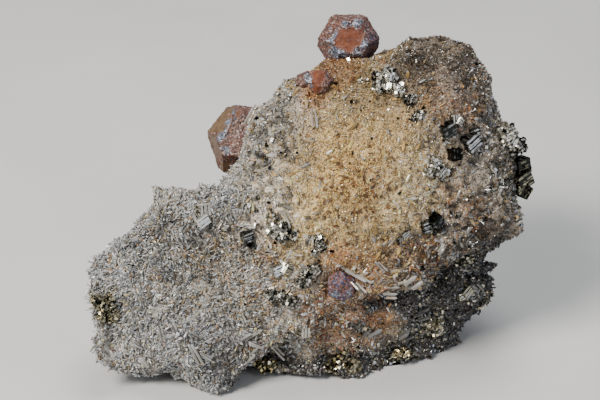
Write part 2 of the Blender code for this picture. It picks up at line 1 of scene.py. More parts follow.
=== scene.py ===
# %% [markdown]
# # Galena with pyrite on a plate of quartz
# A hand specimen is a stack of surfaces at very different scales: a broken plate of rock 150 mm
# wide, a crust of thousands of quartz crystals between half a millimetre and ten millimetres long,
# and a few large crystals of galena and pyrite. The solid model gives the large shapes. This
# script grows the fine ones on them: each kind of crystal is one array formula, and where it grows
# is a rule about the place on the plate.

import math

import bmesh
import bpy
import numpy as np
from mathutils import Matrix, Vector


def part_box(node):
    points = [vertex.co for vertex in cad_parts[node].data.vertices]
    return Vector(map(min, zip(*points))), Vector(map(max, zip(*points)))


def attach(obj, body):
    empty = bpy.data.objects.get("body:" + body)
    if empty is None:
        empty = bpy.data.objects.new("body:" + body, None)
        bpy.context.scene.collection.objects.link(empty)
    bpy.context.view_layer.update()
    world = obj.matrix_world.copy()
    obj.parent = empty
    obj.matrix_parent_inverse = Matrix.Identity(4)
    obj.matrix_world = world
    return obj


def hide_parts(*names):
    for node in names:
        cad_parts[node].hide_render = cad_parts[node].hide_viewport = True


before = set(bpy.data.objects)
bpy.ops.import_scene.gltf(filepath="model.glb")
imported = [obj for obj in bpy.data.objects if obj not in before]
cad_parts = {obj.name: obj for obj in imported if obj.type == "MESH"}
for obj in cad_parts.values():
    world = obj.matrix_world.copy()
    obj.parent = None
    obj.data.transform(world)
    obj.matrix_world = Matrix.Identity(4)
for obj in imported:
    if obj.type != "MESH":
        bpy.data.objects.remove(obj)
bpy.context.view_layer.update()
PYRITE_NODES = sorted(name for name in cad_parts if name.startswith("pyrite"))
GALENA_NODES = sorted(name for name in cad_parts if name.startswith("galena"))
print("nodes:", len(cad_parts), "pyrite:", len(PYRITE_NODES), "galena:", len(GALENA_NODES))

# %% [markdown]
# ## The display frame
# The plate leans back, so its places are easiest to name on its own face: u to the right, v up the
# face and w out of it, all in millimetres. A place (u, v) is where a thing shows from the
# viewpoint, 560 mm away. The centre of the galena on the upper edge is known in both frames, which
# ties one to the other without any number copied from the solid model.

# %% Directions and places
MM = 0.001
LEAN = math.radians(30)
VIEW_DISTANCE = 560.0
VIEW_WIDTH = 200.0
RIGHT = np.array([1.0, 0.0, 0.0])
UPWARD = np.array([0.0, math.sin(LEAN), math.cos(LEAN)])
OUTWARD = np.array([0.0, -math.cos(LEAN), math.sin(LEAN)])
AXES = np.array([RIGHT, UPWARD, OUTWARD])
TOP_GALENA_AT = (16.2, 52.6, -3.0)


def display_offset(u, v, w):
    """The step from the display origin: u and v shrink by w / distance, as seen from nearer."""
    u, v, w = np.broadcast_arrays(np.asarray(u, float), v, w)
    nearer = 1.0 - w / VIEW_DISTANCE
    return np.stack([u * nearer, v * nearer, w], axis=-1) @ AXES


low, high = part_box("galena_top")
ORIGIN = (np.array(low) + np.array(high)) / 2 / MM - display_offset(*TOP_GALENA_AT)


def place(u, v, w):
    """The points, in millimetres, that show at (u, v) and lie w in front of the display plane."""
    return ORIGIN + display_offset(u, v, w)


def seen(points):
    """The inverse of place: u, v and w of each point."""
    local = (points - ORIGIN) @ AXES.T
    nearer = 1.0 - local[..., 2] / VIEW_DISTANCE
    return local[..., 0] / nearer, local[..., 1] / nearer, local[..., 2]


print("display origin, mm:", ORIGIN.round(2))

# %% [markdown]
# ## Making a mesh from arrays
# Every new surface here is a pair of arrays: points, and triangles that index them. They go into
# the mesh in one call each, which stays quick for a hundred thousand faces. Per-point values, such
# as how stained a crystal is, go in as attributes that the materials read.

# %% Mesh helpers
TINY = 1e-9


def unit(vectors):
    """Each vector divided by its length."""
    return vectors / np.maximum(np.linalg.norm(vectors, axis=-1), TINY)[..., None]


def quads(a, b, c, d):
    """Two triangles, a b c and a c d, for each four corners in order."""
    return np.concatenate([np.stack([a, b, c], -1).reshape(-1, 3),
                           np.stack([a, c, d], -1).reshape(-1, 3)])


def read(items, field, kind=float, width=3):
    """A field of every item of a mesh, width numbers each, as rows of three."""
    values = np.empty(len(items) * width, kind)
    items.foreach_get(field, values)
    return values.reshape(-1, 3)


def add_object(name, data):
    """A new object that shows the data."""
    thing = bpy.data.objects.new(name, data)
    bpy.context.scene.collection.objects.link(thing)
    return thing


def add_piece(name, points, triangles, slot, values=None, tones=None, smooth=False):
    """An object of points in millimetres, none below the floor, that rides on the root body."""
    points = np.append(points[:, :2], np.maximum(points[:, 2:], 0.0), axis=1)
    mesh = bpy.data.meshes.new(name)
    mesh.vertices.add(len(points))
    mesh.vertices.foreach_set("co", (points * MM).astype(np.float32).ravel())
    mesh.loops.add(len(triangles) * 3)
    mesh.loops.foreach_set("vertex_index", triangles.astype(np.int32).ravel())
    mesh.polygons.add(len(triangles))
    mesh.polygons.foreach_set("loop_start", np.arange(0, len(triangles) * 3, 3, dtype=np.int32))
    mesh.polygons.foreach_set("use_smooth", np.full(len(triangles), smooth))
    mesh.update(calc_edges=True)
    for label, numbers in (values or {}).items():
        layer = mesh.attributes.new(label, "FLOAT", "POINT")
        layer.data.foreach_set("value", np.asarray(numbers, np.float32))
    if tones is not None:
        layer = mesh.attributes.new("tone", "FLOAT_COLOR", "POINT")
        layer.data.foreach_set("color", np.append(tones, np.ones((len(tones), 1)), 1).ravel())
    piece = add_object(name, mesh)
    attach(piece, "root")
    print(name, "triangles", len(triangles))
    return piece


# %% [markdown]
# ## Noise
# Natural relief needs randomness that is smooth and repeatable. A Displace modifier could bring
# it, but here the two coarsest layers have to be the same as in the solid model, so that the fine
# surface follows its swells and lumps, and so both use one formula. Lattice noise gives each
# corner of a grid of cells a random value and blends between the corners. Cell noise gives each
# place the nearest of many random points: its cells are grains, chips and facets.

# %% Lattice noise and cells
AXIS_PRIMES = np.array((73856093, 19349663, 83492791))
SEED_STEP = 2654435761
SCRAMBLE = 1274126177
KEY_BITS = 0xFFFFFFFF


def lattice_hash(corner, seed):
    """A repeatable random whole number for each corner of the lattice."""
    key = corner @ AXIS_PRIMES + seed * SEED_STEP
    return (key ^ (key >> 13)) * SCRAMBLE & KEY_BITS


def from_bits(key, first, count=8):
    """A number from 0 to 1 made from count bits of each key, from the first of them on."""
    most = (1 << count) - 1
    return (key >> first & most) / most


def lattice_noise(points, size, seed):
    """Values in -1 to 1: a hash of each cell corner, blended by 3t^2 - 2t^3 along each axis."""
    cell = np.floor(points / size).astype(np.int64)
    share = points / size - cell
    share = share * share * (3.0 - 2.0 * share)
    total = np.zeros(len(points))
    for corner in np.ndindex(2, 2, 2):
        key = lattice_hash(cell + corner, seed)
        value = from_bits(key ^ (key >> 16), 0, 16) * 2 - 1
        weight = np.where(np.array(corner) == 1, share, 1.0 - share).prod(axis=1)
        total += weight * value
    return total


def layered(points, layers):
    """The sum of layers of noise, each given as its size in mm, its strength and its seed."""
    return sum(lattice_noise(points, size, seed) * strength for size, strength, seed in layers)


def waves(points, layers):
    """Three such sums side by side, one for each direction of a shift."""
    return sum(
        np.stack([lattice_noise(points, size, seed + i) for i in range(3)], axis=1) * strength
        for size, strength, seed in layers)


def nearest_cell(points, size, seed):
    """For each point, the nearest of one random point in each lattice cell, and its random key."""
    cell = np.floor(points / size).astype(np.int64)
    best = np.full(len(points), np.inf)
    chosen = np.zeros_like(points)
    keys = np.zeros(len(points), np.int64)
    for corner in np.ndindex(3, 3, 3):
        other = cell + np.array(corner) - 1
        key = lattice_hash(other, seed)
        jitter = np.stack([from_bits(key, first) for first in (0, 8, 16)], axis=1)
        site = (other + jitter) * size
        distance = ((points - site) ** 2).sum(axis=1)
        closer = distance < best
        best = np.where(closer, distance, best)
        chosen = np.where(closer[:, None], site, chosen)
        keys = np.where(closer, key, keys)
    return chosen, keys


def facets(points, normals, size, seed):
    """Height of tilted facets: the distance from the cell's point along a random direction."""
    site, key = nearest_cell(points, size, seed)
    tilt = np.stack([from_bits(key, first, 10) * 2 - 1 for first in (2, 11, 20)], axis=1)
    tilt -= (tilt * normals).sum(axis=1)[:, None] * normals
    return ((points - site) * tilt).sum(axis=1)


# %% [markdown]
# ## The plate of rock
# The plate is vein rock that broke off under its crust. It could be sculpted, or the solid could
# be cut finer, but a surface of two parameters has an even net, and its rings say where the crust
# ends. One parameter is an angle round the centre, and the other is a way along the section at
# that angle, from the middle of the display face over the edge to the middle of the back. The
# crust's edge and the rock's edge are two outlines; where they part, at the lower right, the
# section steps in under a ledge. Below the front galena the crust runs on down, so an apron fills
# most of the step there. The outlines are read at real size, and lie a few millimetres
# outside the solid's at the left lobe and at the upper right corner.

# %% Outlines and relief
CENTRE = (-4.0, -18.0)
SHARED_EDGE = [
    (65, -16), (73.3, -10.7), (74, -2), (71.7, 2), (72, 17), (70.7, 23.3), (66.7, 28.7), (63, 36),
    (62, 42.5), (60, 47.5), (57, 52.5), (50.5, 53.8), (46.7, 55.2), (36, 54), (33.7, 51),
    (30, 49.3), (26, 49), (15, 48), (9, 47), (4, 42.5), (0, 40.3), (-4.3, 38.6), (-8.3, 34),
    (-15.7, 30), (-18, 25), (-22, 13.3), (-26, 6.7), (-28, 3.5), (-31.7, 4.7), (-36.7, 4),
    (-42.7, 5), (-47, 4), (-48.5, 0), (-53, -7), (-57, -12), (-66.8, -16.6), (-73.4, -24),
    (-76.2, -32), (-74.4, -38.4), (-74.6, -45), (-78.2, -51.4), (-73.0, -56.8), (-62.2, -58.4),
    (-51.7, -58.6), (-42.7, -57.2), (-38, -60), (-33.3, -64), (-29, -66), (-21.3, -61),
    (-17.7, -56.5),
]
LEDGE_EDGE = [
    (-15, -54), (-8.3, -48.3), (0, -43.3), (6.7, -38), (16.7, -34), (28.3, -31), (35, -30),
    (43.3, -26.7), (47, -22), (53.3, -20.3),
]
ROCK_EDGE = [
    (-14, -59.3), (6, -59.7), (8.7, -57.3), (14.3, -59), (20, -58.7), (28.3, -54.3), (35, -53.7),
    (41.7, -52), (52, -48), (54.7, -41), (59.3, -38.3), (65.3, -33.7), (64.7, -28), (60.3, -25.7),
    (64.3, -22.7),
]
CRUST_RELIEF = 4.5
HILLS = [((16, 12), 45, 16.0), ((-42, -6), 13, 4.0), ((-56, -34), 15, 3.5), ((-36, -48), 14, 4.5),
         ((-10, -34), 16, 3.0), ((-44, -22), 9, -3.0), ((13, -29), 7, -4.0), ((48, 30), 14, 4.0)]
PLATE_DEPTH = 48.0
PLATE_TAPER = 0.33
RIM_DEEPEST = -24.0
RIM_LIFT = 1.0


def reach(edge, angles):
    """How far a ray from the centre goes at each angle before it leaves the closed edge."""
    a = np.array(edge, float) - CENTRE
    side = np.roll(a, -1, axis=0) - a
    ray = np.stack([np.cos(angles), np.sin(angles)], axis=-1)[:, None, :]
    cross = ray[..., 0] * side[:, 1] - ray[..., 1] * side[:, 0]
    cross = np.where(abs(cross) < TINY, TINY, cross)
    along_ray = (a[:, 0] * side[:, 1] - a[:, 1] * side[:, 0]) / cross
    along_side = (a[:, 0] * ray[..., 1] - a[:, 1] * ray[..., 0]) / cross
    meets = (along_ray > 0) & (along_side >= -TINY) & (along_side <= 1 + TINY)
    return np.where(meets, along_ray, 0.0).max(axis=1)


def blob(u, v, at, radius):
    """A round spot: e^(-r^2 / radius^2) of the distance r from its place."""
    return np.exp(-((u - at[0]) ** 2 + (v - at[1]) ** 2) / radius**2)


def spot_sum(u, v, listed):
    """The sum of soft spots, each listed with its place, its radius and its strength."""
    return sum(strength * blob(u, v, at, radius) for at, radius, strength in listed)


def face_height(u, v):
    """How far the crust stands out at (u, v): a low plateau plus the dome and smaller hills."""
    return CRUST_RELIEF + spot_sum(u, v, HILLS)


def back_depth(v):
    """The depth of the back: a straight taper, deepest at the foot."""
    return -PLATE_DEPTH + PLATE_TAPER * (v - CENTRE[1])


def rim_depth(v):
    """The depth of the broken rock's lower edge: where it meets the floor, or hangs over it."""
    at_floor = -(ORIGIN[2] + v * math.cos(LEAN)) / math.sin(LEAN)
    return np.maximum(RIM_DEEPEST, at_floor + RIM_LIFT)


# %% Sections of the plate
ROUND = 560
FRONT_RINGS = 84
STEPS_PER_SPAN = 9
FRONT_SHARE = 0.93
PLAIN_EDGE = [(1.0, 1.5), (0.985, -4.0), (0.98, -9.0), (0.97, -14.0), (0.95, -19.0)]
BACK = [(0.90, 0.66), (0.66, 0.93), (0.34, 1.0), (0.02, 1.0)]
LEDGE_WIDTH = 14.0
LEDGE_LIP = 2.5
LEDGE_UNDERCUT = 6.5
LEDGE_DROP = 12.0
APRON_AT = 300
APRON_WIDTH = 34
APRON_PEAK = 1.6
APRON_FLUSH = 0.9
APRON_FILL = 6.0


def apron(angles):
    """Where the crust runs on below the ledge: 1 there, and a straight fall to 0 beside it."""
    return np.clip(APRON_PEAK - abs(np.degrees(angles) - APRON_AT) / APRON_WIDTH, 0, 1)


def plate_sections(angles, crust, rock):
    """Distance from the centre and depth w along the section at each angle, front to back.

    PLAIN_EDGE gives shares of the crust's reach and depths for a plain edge, the stepped bends
    go in under the lip and out to the rim, and the wider the ledge, the more those count.
    """
    def at(distance):
        return CENTRE[0] + distance * np.cos(angles), CENTRE[1] + distance * np.sin(angles)

    shares = np.linspace(0.0, FRONT_SHARE, FRONT_RINGS + 1)[1:]
    front = [(crust * s, face_height(*at(crust * s))) for s in shares]
    lip = face_height(*at(crust))
    rim = rim_depth(at(rock)[1])
    recess = lip - LEDGE_DROP
    band = rock - crust
    filled = apron(angles)
    stepped = [
        (crust, lip - LEDGE_LIP),
        (crust - LEDGE_UNDERCUT * (1 - APRON_FLUSH * filled), recess + APRON_FILL * filled),
        (crust + band * 0.3, recess - 1.0 + APRON_FILL * 0.6 * filled),
        (crust + band * 0.75, (recess + rim) / 2),
        (rock, rim),
    ]
    ledge = np.clip(band / LEDGE_WIDTH, 0.0, 1.0)
    bends = [front[-1]]
    for (share, depth), (out, deep) in zip(PLAIN_EDGE, stepped):
        near = crust * share
        bends.append((near + (out - near) * ledge, depth + (deep - depth) * ledge))
    for share, sunk in BACK:
        bends.append((rock * share, back_depth(at(rock * share)[1]) * sunk))
    return np.array(front), np.array(bends)


def smooth_spans(bends):
    """A curve through the bends, by the Catmull-Rom blend of each four in a row."""
    before, a, b, after = bends[:-3], bends[1:-2], bends[2:-1], bends[3:]
    curve = []
    for t in np.arange(STEPS_PER_SPAN) / STEPS_PER_SPAN:
        curve.append(0.5 * (2 * a + (b - before) * t
                            + (2 * before - 5 * a + 4 * b - after) * t**2
                            + (3 * a - before - 3 * b + after) * t**3))
    return np.stack(curve, axis=1).reshape(-1, *bends.shape[1:])


angles = math.tau * np.arange(ROUND) / ROUND
crust_edge = reach(SHARED_EDGE + LEDGE_EDGE, angles)
rock_edge = reach(SHARED_EDGE + ROCK_EDGE, angles)
front, bends = plate_sections(angles, crust_edge, rock_edge)
bends = np.concatenate([front[-2:-1], bends, bends[-1:]])
section = np.concatenate([front[:-1], smooth_spans(bends), bends[-1:]])
u_grid = CENTRE[0] + section[:, 0] * np.cos(angles)
v_grid = CENTRE[1] + section[:, 0] * np.sin(angles)
plain_plate = place(u_grid, v_grid, section[:, 1])
print("rings", len(plain_plate), "round", ROUND)

# %% [markdown]
# ## Where the crust is coarse, and what colours it has
# The crust depends on where it is: coarse grey needles on the lobe at the left, a sandy dome
# stained by iron in the middle, taupe and rusty druse at the right. Each zone is a sum of soft
# round spots, named by place and radius in millimetres, which are easier to read and to change
# than a painted mask. Each zone mixes the same eleven tones of quartz in its own shares, and each
# crystal draws one tone, as real ones differ in clarity.

# %% Zones and tones
COARSE = [((-62, -34), 24, 1.0), ((-46, -8), 17, 1.0), ((-45, -36), 20, 1.0), ((-30, -52), 18, 1.0),
          ((-30, -20), 15, 0.8), ((-12, -46), 12, 0.9), ((-26, 0), 8, 0.6), ((6, -38), 9, 0.4),
          ((45, -24), 8, 0.4), ((24, -29), 6, 0.3)]
SHINGLE = [((70, 4), 10, 0.8), ((-16, 22), 9, 0.7), ((62, 32), 9, 0.8), ((40, 52), 8, 0.5),
           ((54, -14), 14, 0.8), ((-8, -20), 14, 0.6), ((38, -22), 10, 0.8), ((-4, 34), 7, 0.5)]
ZONES = {
    "lobe": [((-60, -32), 26, 1.0), ((-42, -6), 16, 1.0), ((-44, -40), 20, 1.0),
             ((-24, -54), 16, 1.0), ((-18, 10), 14, 0.7), ((-6, 30), 9, 0.6), ((-8, -42), 9, 0.4)],
    "brown": [((-28, -22), 16, 1.0), ((-14, -34), 14, 0.9), ((-2, -38), 11, 0.8),
              ((10, -33), 10, 0.9), ((-44, -26), 9, 0.6)],
    "clean": [((-64, -20), 10, 1.1), ((-50, -52), 11, 0.8), ((-30, -54), 9, 0.8),
              ((-24, 0), 6, 1.0), ((-40, -44), 8, 0.5)],
    "pale": [((-11, 18), 10, 1.4), ((-18, 6), 9, 0.9), ((-6, 30), 9, 0.8), ((-13, -4), 9, 1.3)],
    "dome": [((18, 8), 20, 1.5), ((6, -4), 9, 0.5), ((30, 16), 10, 0.5)],
    "sandy": [((3, -9), 10, 1.5), ((37, 6), 11, 1.6), ((0, 8), 8, 0.8), ((18, 30), 9, 0.7),
              ((28, -8), 9, 0.6)],
    "upper": [((20, 36), 12, 1.3), ((32, 30), 10, 0.7)],
    "right": [((58, 8), 18, 1.0), ((48, -16), 14, 1.0), ((66, -6), 12, 1.0), ((60, 26), 12, 0.8)],
    "top": [((44, 46), 14, 1.5), ((34, 44), 8, 0.8), ((54, 36), 9, 0.7)],
    "rusty": [((54, 30), 5, 1.0), ((50, 0), 6, 0.5), ((60, -6), 6, 0.7), ((13, -21), 6, 1.0),
              ((5, 35), 4, 3.0), ((12, 44), 6, 3.0), ((44, 34), 6, 0.5), ((26, -20), 6, 0.6),
              ((23, 8), 12, 0.4), ((40, -18), 6, 0.4), ((-10, -18), 5, 0.5), ((8, -38), 9, 1.0),
              ((22, -37), 7, 0.8)],
}
TONES = {
    "white": "#E8EAEB", "milky": "#CFD1D1", "blue_grey": "#AEB7C2", "grey": "#A3A09A",
    "taupe": "#8C7C68", "smoky": "#4A433C", "sand": "#D4AF68", "cream": "#E8D6A0",
    "honey": "#B98A4E", "brown": "#64452A", "rust": "#9A5528",
}
SHARES = {
    #         white milky blue_  grey taupe smoky  sand cream honey brown  rust
    "lobe":   (0.22, 0.25, 0.23, 0.12, 0.06, 0.05, 0.00, 0.05, 0.02, 0.00, 0.00),
    "brown":  (0.16, 0.20, 0.10, 0.14, 0.10, 0.05, 0.11, 0.06, 0.08, 0.00, 0.00),
    "clean":  (0.30, 0.24, 0.36, 0.06, 0.00, 0.04, 0.00, 0.00, 0.00, 0.00, 0.00),
    "pale":   (0.12, 0.22, 0.06, 0.22, 0.10, 0.12, 0.10, 0.06, 0.00, 0.00, 0.00),
    "dome":   (0.00, 0.00, 0.00, 0.03, 0.02, 0.00, 0.60, 0.20, 0.13, 0.02, 0.00),
    "sandy":  (0.00, 0.10, 0.00, 0.18, 0.06, 0.03, 0.24, 0.36, 0.00, 0.03, 0.00),
    "upper":  (0.00, 0.00, 0.00, 0.17, 0.22, 0.05, 0.38, 0.10, 0.08, 0.00, 0.00),
    "right":  (0.00, 0.10, 0.18, 0.17, 0.18, 0.24, 0.05, 0.00, 0.04, 0.04, 0.00),
    "top":    (0.00, 0.00, 0.04, 0.10, 0.22, 0.50, 0.00, 0.00, 0.02, 0.12, 0.00),
    "rusty":  (0.00, 0.00, 0.00, 0.00, 0.16, 0.00, 0.00, 0.00, 0.30, 0.20, 0.34),
    "broken": (0.05, 0.00, 0.19, 0.11, 0.06, 0.56, 0.00, 0.00, 0.00, 0.03, 0.00),
}
SPOTTED = [((21, 8), 10, 1.1), ((8, 2), 8, 0.3), ((14, -10), 8, 0.4), ((30, -4), 9, 0.5)]
SPOT_SPACING = 2.6
SPOT_RADIUS = (0.45, 0.95)
SPOT_SHADE = 0.5
RUGGED = [((58, 14), 17, 1.0), ((54, -8), 14, 1.0), ((-9, 17), 11, 0.9), ((-13, -5), 11, 0.9),
          ((4, -12), 9, 0.7), ((30, -18), 10, 0.6), ((10, -36), 10, 0.5)]
# Soft spots that raise or lower the crust's lightness. They are partly its own tone and partly
# painted light and painted shade, such as the lightened recess below the lobe.
PAINTED_LIGHT_SHADE_AND_TONE = [((38, 7), 10, 0.30), ((5, -8), 9, 0.08), ((-13, -4), 8, 0.20),
             ((-42, -7), 10, -0.30), ((-8, 17), 10, -0.30), ((43, 48), 12, -0.26),
             ((-25, -54), 10, -0.42), ((-50, -34), 16, -0.12), ((-27, -28), 10, -0.14),
             ((57, -35), 9, -0.45), ((45, -26), 8, -0.55), ((10, -38), 9, 0.45),
             ((12, -20), 6, 0.45), ((18, 8), 13, 0.16), ((18, 32), 6, -0.20), ((30, -42), 6, 0.3),
             ((-4, -51), 6, 0.9), ((56, -6), 9, -0.12), ((32, -51), 9, -0.15),
             ((64, -13), 8, -0.75), ((56, -17), 6, -0.25), ((64, 12), 6, -0.45),
             ((-9, 31), 7, -0.32), ((-3, 37), 5, -0.30), ((10, 43), 5, -0.25),
             ((18, 41), 9, -0.34), ((-3, 3), 7, 0.32), ((43, -16), 6, 0.42),
             ((-64, -50), 8, 0.50), ((-38, -57), 7, 0.32), ((23, -43), 5, 0.4),
             ((49, 4), 7, 0.45), ((16, -37), 6, 0.40), ((-23, -58), 6, -0.30),
             ((55, 45), 6, -0.30)]
PATCHES = [(9.0, 0.22, 95), (3.0, 0.25, 96)]
RUGGED_GRAIN = [(1.5, 1.5, 99)]
SHADE_LIMITS = (0.12, 2.2)


def linear(hex_colour):
    """An sRGB hex colour as linear red, green, blue and alpha."""
    srgb = np.array([int(hex_colour[i:i + 2], 16) for i in (1, 3, 5)]) / 255
    plain = np.where(srgb <= 0.04045, srgb / 12.92, ((srgb + 0.055) / 1.055) ** 2.4)
    return (*plain, 1.0)


TONE_COLOURS = np.array([linear(colour)[:3] for colour in TONES.values()])
SHARE_TABLE = np.array(list(SHARES.values()))
print("zones:", len(ZONES), "tones:", len(TONES), "sums:", SHARE_TABLE.sum(axis=1).round(2))


def spots(u, v, listed):
    """The sum of the listed soft spots, at most 1."""
    return np.clip(spot_sum(u, v, listed), 0, 1)


def rust_spots(u, v):
    """True inside small round spots of rust, which are dense in the middle of the dome."""
    site, key = nearest_cell(np.stack([u, v, np.zeros_like(u)], axis=-1), SPOT_SPACING, 71)
    radius = SPOT_RADIUS[0] + from_bits(key, 4) * (SPOT_RADIUS[1] - SPOT_RADIUS[0])
    likely = spots(site[:, 0], site[:, 1], SPOTTED) > from_bits(key, 12)
    return likely & (np.hypot(u - site[:, 0], v - site[:, 1]) < radius)


def shade(points):
    """How light the crust is: soft patches, spots of painted light and shade, a coarse grain where
    it is rugged, and rust spots.
    """
    u, v, _ = seen(points)
    light = (1 + layered(points, PATCHES)) * (1 + spot_sum(u, v, PAINTED_LIGHT_SHADE_AND_TONE))
    light *= 1 + spots(u, v, RUGGED) * layered(points, RUGGED_GRAIN)
    return np.clip(light * np.where(rust_spots(u, v), SPOT_SHADE, 1.0), *SHADE_LIMITS)[:, None]


LEAST_WEIGHT = 0.02
RUST_WEIGHT = 4.0


def tone_shares(points, bare):
    """The share of each tone at each point: its zones' shares, by nearness and in patches."""
    u, v, _ = seen(points)
    weights = np.stack([
        spot_sum(u, v, listed) * (1 + layered(points, [(8.0, 0.7, 61 + i), (3.0, 0.3, 81 + i)]))
        for i, listed in enumerate(ZONES.values())], axis=-1) + LEAST_WEIGHT
    weights[:, list(ZONES).index("rusty")] += RUST_WEIGHT * rust_spots(u, v)
    weights /= weights.sum(axis=-1, keepdims=True)
    bare = np.broadcast_to(bare, len(points))[:, None]  # 1 where the rock is broken
    weights = np.concatenate([weights * (1 - bare), bare], axis=-1)
    return weights @ SHARE_TABLE


TONE_SPREAD = 0.68
BRIGHTNESS = (0.52, 1.52)
BRIGHTEST = 0.9


def draw_tones(rng, points, bare):
    """A tone for each crystal: part the mean of its place, part one drawn by the shares there."""
    shares = tone_shares(points, bare)
    mean = shares @ TONE_COLOURS / shares.sum(axis=1)[:, None]
    steps = shares.cumsum(axis=1)
    pick = (rng.random(len(points))[:, None] * steps[:, -1:] > steps).sum(axis=1)
    tones = (mean + (TONE_COLOURS[pick] - mean) * TONE_SPREAD) * shade(points)
    return np.clip(tones * rng.uniform(*BRIGHTNESS, (len(points), 1)), 0, BRIGHTEST)


# %% [markdown]
# ## Relief of the plate
# Rock that was broken off a vein has flat breaks on its back and a rough grain all over. A boolean
# could cut the breaks, but it would tear the even net, so they push every point back to the
# nearest plane. Then come the swells and lumps of the solid model, and finer layers: a knobbly one
# under the crust, and sharp tilted facets where the rock is bare. Under the crust the skin stays
# back, to leave room for the crystals on it.

# %% Breaks and roughness
BREAKS = [((0.10, 0.75, -0.65), 51.0), ((0.62, 0.30, -0.72), 56.0), ((-0.55, 0.35, -0.76), 42.0),
          ((-0.30, -0.10, -0.95), 36.0), ((0.40, -0.15, -0.90), 38.5), ((0.80, -0.25, -0.55), 61.0),
          ((-0.80, -0.20, -0.56), 60.0), ((0.05, -0.55, -0.83), 58.0)]
BREAKS_FROM = (8.0, 0.0, -8.0)
BREAK_FLATNESS = 0.92
SWELLS = [(15.0, 1.7, 1), (7.0, 1.1, 4)]
NEEDLE_ROOM = 1.2
GRAIN_ROOM = 0.45
FINE_RELIEF = [(2.6, 0.35, 21), (1.2, 0.25, 22)]
CHIP_FACETS = [(7.5, 31), (3.0, 32)]
CHIP_TILT = 0.34
CHIP_GRAIN = [(1.3, 0.2, 33)]
CHIP_LIMITS = (-2.0, 1.4)


def broken(points):
    """The points, moved back along each break's normal by how far they stand proud of it."""
    middle = place(*BREAKS_FROM)
    for looks, distance in BREAKS:
        normal = unit(np.array(looks) @ AXES)
        proud = np.maximum((points - middle) @ normal - distance, 0.0)
        points = points - proud[:, None] * normal * BREAK_FLATNESS
    return points


def grid_normals(grid):
    """The normal at each grid point: the cross product of its two neighbour differences."""
    along = np.gradient(grid, axis=0)
    around = np.roll(grid, -1, axis=1) - np.roll(grid, 1, axis=1)
    return unit(np.cross(along, around))


shape = plain_plate.shape
rough = broken(plain_plate.reshape(-1, 3))
rough = rough + waves(rough, SWELLS)
normals = grid_normals(rough.reshape(shape)).reshape(-1, 3)
ring = np.arange(shape[0])[:, None] + np.zeros(ROUND)
LIP_RING = FRONT_RINGS + STEPS_PER_SPAN
RIM_RING = FRONT_RINGS + 5 * STEPS_PER_SPAN
PLAIN_SPANS = 4.0
APRON_SPANS = 2.4
BARE_WIDTH = 6.0
has_ledge = np.clip((rock_edge - crust_edge) / BARE_WIDTH, 0, 1)
crust_spans = (1 - has_ledge) * PLAIN_SPANS + has_ledge * apron(angles) * APRON_SPANS
bare_from = LIP_RING + crust_spans * STEPS_PER_SPAN


def ragged(points):
    """How many rings the crust's edge wanders at each point."""
    return layered(points, [(9.0, 7, 41), (3.0, 4, 42)])


def tufts(points):
    """Where the needles stand in tufts: noise of two sizes, about -1.5 to 1.5."""
    return layered(points, [(5.5, 1.0, 97), (2.6, 0.7, 98)])


BARE_BLEND = 5.0
past_crust = ring.ravel() + ragged(rough) - np.tile(bare_from, shape[0])
bare = np.clip((past_crust + 2) / BARE_BLEND, 0, 1)
needled = spots(*seen(rough)[:2], COARSE)
room = GRAIN_ROOM + (NEEDLE_ROOM - GRAIN_ROOM) * needled - tufts(rough) * (0.2 + 0.4 * needled)
fine = layered(rough, FINE_RELIEF) - room
chips = (sum(facets(rough, normals, size, seed) * CHIP_TILT for size, seed in CHIP_FACETS)
         + layered(rough, CHIP_GRAIN))
surface = rough + normals * (fine * (1 - bare) + np.clip(chips, *CHIP_LIMITS) * bare)[:, None]
surface[:, 2] = np.maximum(surface[:, 2], 0.0)
grid = surface.reshape(shape)
print("share of the skin that is bare:", bare.mean().round(2))

# %% [markdown]
# ## The rock skin as a mesh
# The grid closes on itself round the angle, and a single point at each end closes the poles. Its
# tone is the middle of the crystals' tones, because between the grains one sees their roots, with
# the same painted light and shade.

# %% Rock skin
def closed_grid(grid, first, last):
    """Points and triangles of rings joined round, with one point to close each end."""
    rings, round_count = grid.shape[:2]
    index = 1 + np.arange(rings * round_count).reshape(rings, round_count)
    beside = np.roll(index, -1, axis=1)
    a, b, c, d = index[:-1], index[1:], beside[1:], beside[:-1]
    end = rings * round_count + 1
    triangles = [quads(a, b, c, d),
                 np.stack([np.zeros(round_count, int), index[0], beside[0]], -1),
                 np.stack([index[-1], np.full(round_count, end), beside[-1]], -1)]
    points = np.concatenate([first[None], grid.reshape(-1, 3), last[None]])
    return points, np.concatenate(triangles)


skin_points, skin_triangles = closed_grid(grid, grid[0].mean(axis=0), grid[-1].mean(axis=0))
skin_bare = np.concatenate([[0.0], bare, [1.0]])
skin_tones = tone_shares(skin_points, skin_bare) @ TONE_COLOURS * shade(skin_points)
skin = add_piece("rock_plate", skin_points, skin_triangles, "quartz_rock", {"bare": skin_bare},
                 skin_tones, smooth=True)
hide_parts("quartz_matrix")

# %% [markdown]
# ## Reading the crystals back from the frame
# The pyrite nodes are cubes grown into each other. Their flat faces say exactly where each cube
# is: three face directions square to each other belong to one cube, and the distances between
# opposite faces give its edge. The places could be written down a second time, but reading them
# keeps the fine crystals on the solid ones whatever changes there.

# %% Cubes from faces
SMALLEST_FACE = 0.25
SMALLEST_TRIANGLE = 0.025
SAME_NORMAL = 0.9995
SAME_DISTANCE = 0.05
SQUARE_WITHIN = 0.001
ALIGNED_WITHIN = 0.99999


